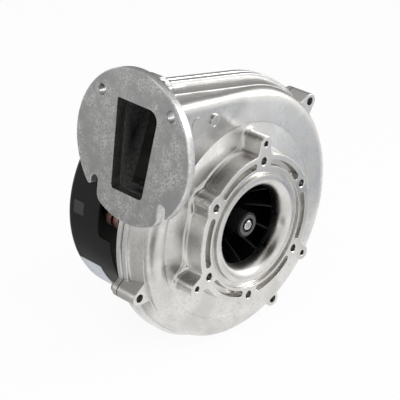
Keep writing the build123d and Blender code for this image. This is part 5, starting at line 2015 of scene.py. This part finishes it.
@dataclass
class Studio:
    """White studio: world, floor, toned cards for the metal to mirror, lamps and the camera."""

    azimuth: float = -47.673
    elevation: float = 21.654
    roll: float = 5.797
    target: tuple[float, float, float] = (-36.94, 30.0, 22.76)
    distance: float = 1141.16
    lens: float = 131.36
    sky: tuple[float, float, float] = (0.93, 0.96, 1.0)
    sky_light: float = 0.55
    floor_tone: float = 0.88
    floor_white: float = 0.94
    lamp_aim: tuple[float, float, float] = (0.0, 0.03, 0.02)
    lamps: tuple[Lamp, ...] = (
        Lamp("lamp_left", (-0.9, -0.9, 1.3), 16.0, 1.2, False),
        Lamp("lamp_right", (1.3, -0.8, 0.9), 9.0, 0.7, True),
    )
    flags: tuple[Card, ...] = (
        Card("flag_low_left", (0.5, 0.5, 0.495), (-0.48, 0.44, -0.1), 0.8, 0.8),
        Card("flag_high_left", (0.27, 0.26, 0.25), (-0.42, 0.75, 0.75), 1.2, 1.0,
             (0.35, -0.65, -0.6)),
        Card("flag_front", (0.06, 0.056, 0.05), (-0.44, -0.60, 0.86), 1.3, 1.1,
             (0.4, 0.6, -0.85)),
        Card("flag_low_front", (0.07, 0.066, 0.06), (-0.36, -0.26, -0.1), 0.4, 0.4),
        Card("flag_high_right", (0.3, 0.3, 0.3), (0.76, 0.55, 0.57), 1.4, 1.2,
             (-0.7, -0.5, -0.5)),
        Card("flag_right", (0.22, 0.25, 0.30), (0.31, -0.20, -0.1), 0.14, 0.26),
        Card("flag_far_right", (0.45, 0.49, 0.56), (0.68, -0.32, -0.1), 0.36, 0.50),
        Card("glow_front", (2.2, 2.2, 2.2), (0.55, -0.72, -0.1), 0.40, 0.50),
    )

    def camera(self) -> None:
        """Camera at its angle about the target, rolled about its own line of sight."""
        az, el, roll = (math.radians(v) for v in (self.azimuth, self.elevation, self.roll))
        back = Vector(
            (math.sin(az) * math.cos(el), -math.cos(az) * math.cos(el), math.sin(el))
        )
        right = Vector((0, 0, 1)).cross(back).normalized()
        up = back.cross(right)
        rolled = right * math.cos(roll) + up * math.sin(roll)
        upright = up * math.cos(roll) - right * math.sin(roll)
        data = bpy.data.cameras.new("camera")
        data.lens = self.lens
        data.sensor_width = 36.0
        data.clip_start = 0.05
        camera = bpy.data.objects.new("camera", data)
        bpy.context.scene.collection.objects.link(camera)
        turn = Matrix((rolled, upright, back)).transposed()
        place = Vector(self.target) * MM + back * self.distance * MM
        camera.matrix_world = Matrix.Translation(place) @ turn.to_4x4()
        bpy.context.scene.camera = camera

    @staticmethod
    def _rays(tree: bpy.types.NodeTree, *kinds: str) -> bpy.types.NodeSocket:
        """Socket that holds 1 for a ray of any named kind.

        Args:
            tree: node tree of the world or of a material.
            kinds: outputs of the light path node.

        Returns:
            Output socket with the largest of those outputs.
        """
        path = tree.nodes.new("ShaderNodeLightPath")
        socket = path.outputs[kinds[0]]
        for kind in kinds[1:]:
            larger = tree.nodes.new("ShaderNodeMath")
            larger.operation = "MAXIMUM"
            tree.links.new(socket, larger.inputs[0])
            tree.links.new(path.outputs[kind], larger.inputs[1])
            socket = larger.outputs[0]
        return socket

    @staticmethod
    def _blend(tree: bpy.types.NodeTree, output: str, *sockets: bpy.types.NodeSocket) -> None:
        """Mix two shaders and link the mix to the output node.

        Args:
            tree: node tree of the world or of a material.
            output: name of its output node.
            sockets: the share of the second shader, the first shader and the second.
        """
        mix = tree.nodes.new("ShaderNodeMixShader")
        for index, socket in enumerate(sockets):
            tree.links.new(socket, mix.inputs[index])
        tree.links.new(mix.outputs[0], tree.nodes[output].inputs["Surface"])

    def world(self) -> None:
        """White to the camera and to mirrors, softer as light."""
        world = bpy.data.worlds.new("studio")
        world.use_nodes = True
        bpy.context.scene.world = world
        tree = world.node_tree
        soft = tree.nodes["Background"]
        soft.inputs["Color"].default_value = (*self.sky, 1)
        soft.inputs["Strength"].default_value = self.sky_light
        white = tree.nodes.new("ShaderNodeBackground")
        white.inputs["Color"].default_value = (1, 1, 1, 1)
        seen = self._rays(tree, "Is Camera Ray", "Is Glossy Ray", "Is Transmission Ray")
        self._blend(tree, "World Output", seen, soft.outputs[0], white.outputs[0])

    def floor(self, level: float) -> None:
        """Pale floor at the object's lowest point, white to the camera with a soft shadow."""
        made = bpy.data.materials.new("floor")
        made.use_nodes = True
        tree = made.node_tree
        shader = tree.nodes["Principled BSDF"]
        shader.inputs["Base Color"].default_value = (*[self.floor_tone] * 3, 1)
        shader.inputs["Roughness"].default_value = 0.9
        shader.inputs["Specular IOR Level"].default_value = 0.1
        glow = tree.nodes.new("ShaderNodeEmission")
        share = tree.nodes.new("ShaderNodeMath")
        share.operation = "MULTIPLY"
        share.inputs[1].default_value = self.floor_white
        seen = self._rays(tree, "Is Camera Ray", "Is Glossy Ray")
        tree.links.new(seen, share.inputs[0])
        sockets = (share.outputs[0], shader.outputs[0], glow.outputs[0])
        self._blend(tree, "Material Output", *sockets)
        Card("floor", (1.0, 1.0, 1.0), (0, 0, level), 6.0, 6.0).place(made)

    def build(self) -> None:
        """Set up the studio."""
        bpy.context.scene.view_settings.view_transform = "Standard"
        self.camera()
        self.world()
        self.floor(CAD_BOX[0][2])
        for card in self.flags:
            card.flag()
        for lamp in self.lamps:
            lamp.build(self.lamp_aim)


def main() -> None:
    """Build every sub-assembly in order, then the studio."""
    logging.basicConfig(level=logging.INFO, format="%(name)s %(message)s")
    front = FrontCasting()
    pieces = front.build()
    pieces += RearCasting().build(front)
    pieces += Impeller().build()
    pieces += ShaftEnd().build()
    pieces += MotorCover().build()
    pieces += Choke().build()
    pieces += Carried().build()
    for piece in pieces:
        LOG.info("piece %s", piece.name)
    Studio().build()


if __name__ == "__main__":
    main()
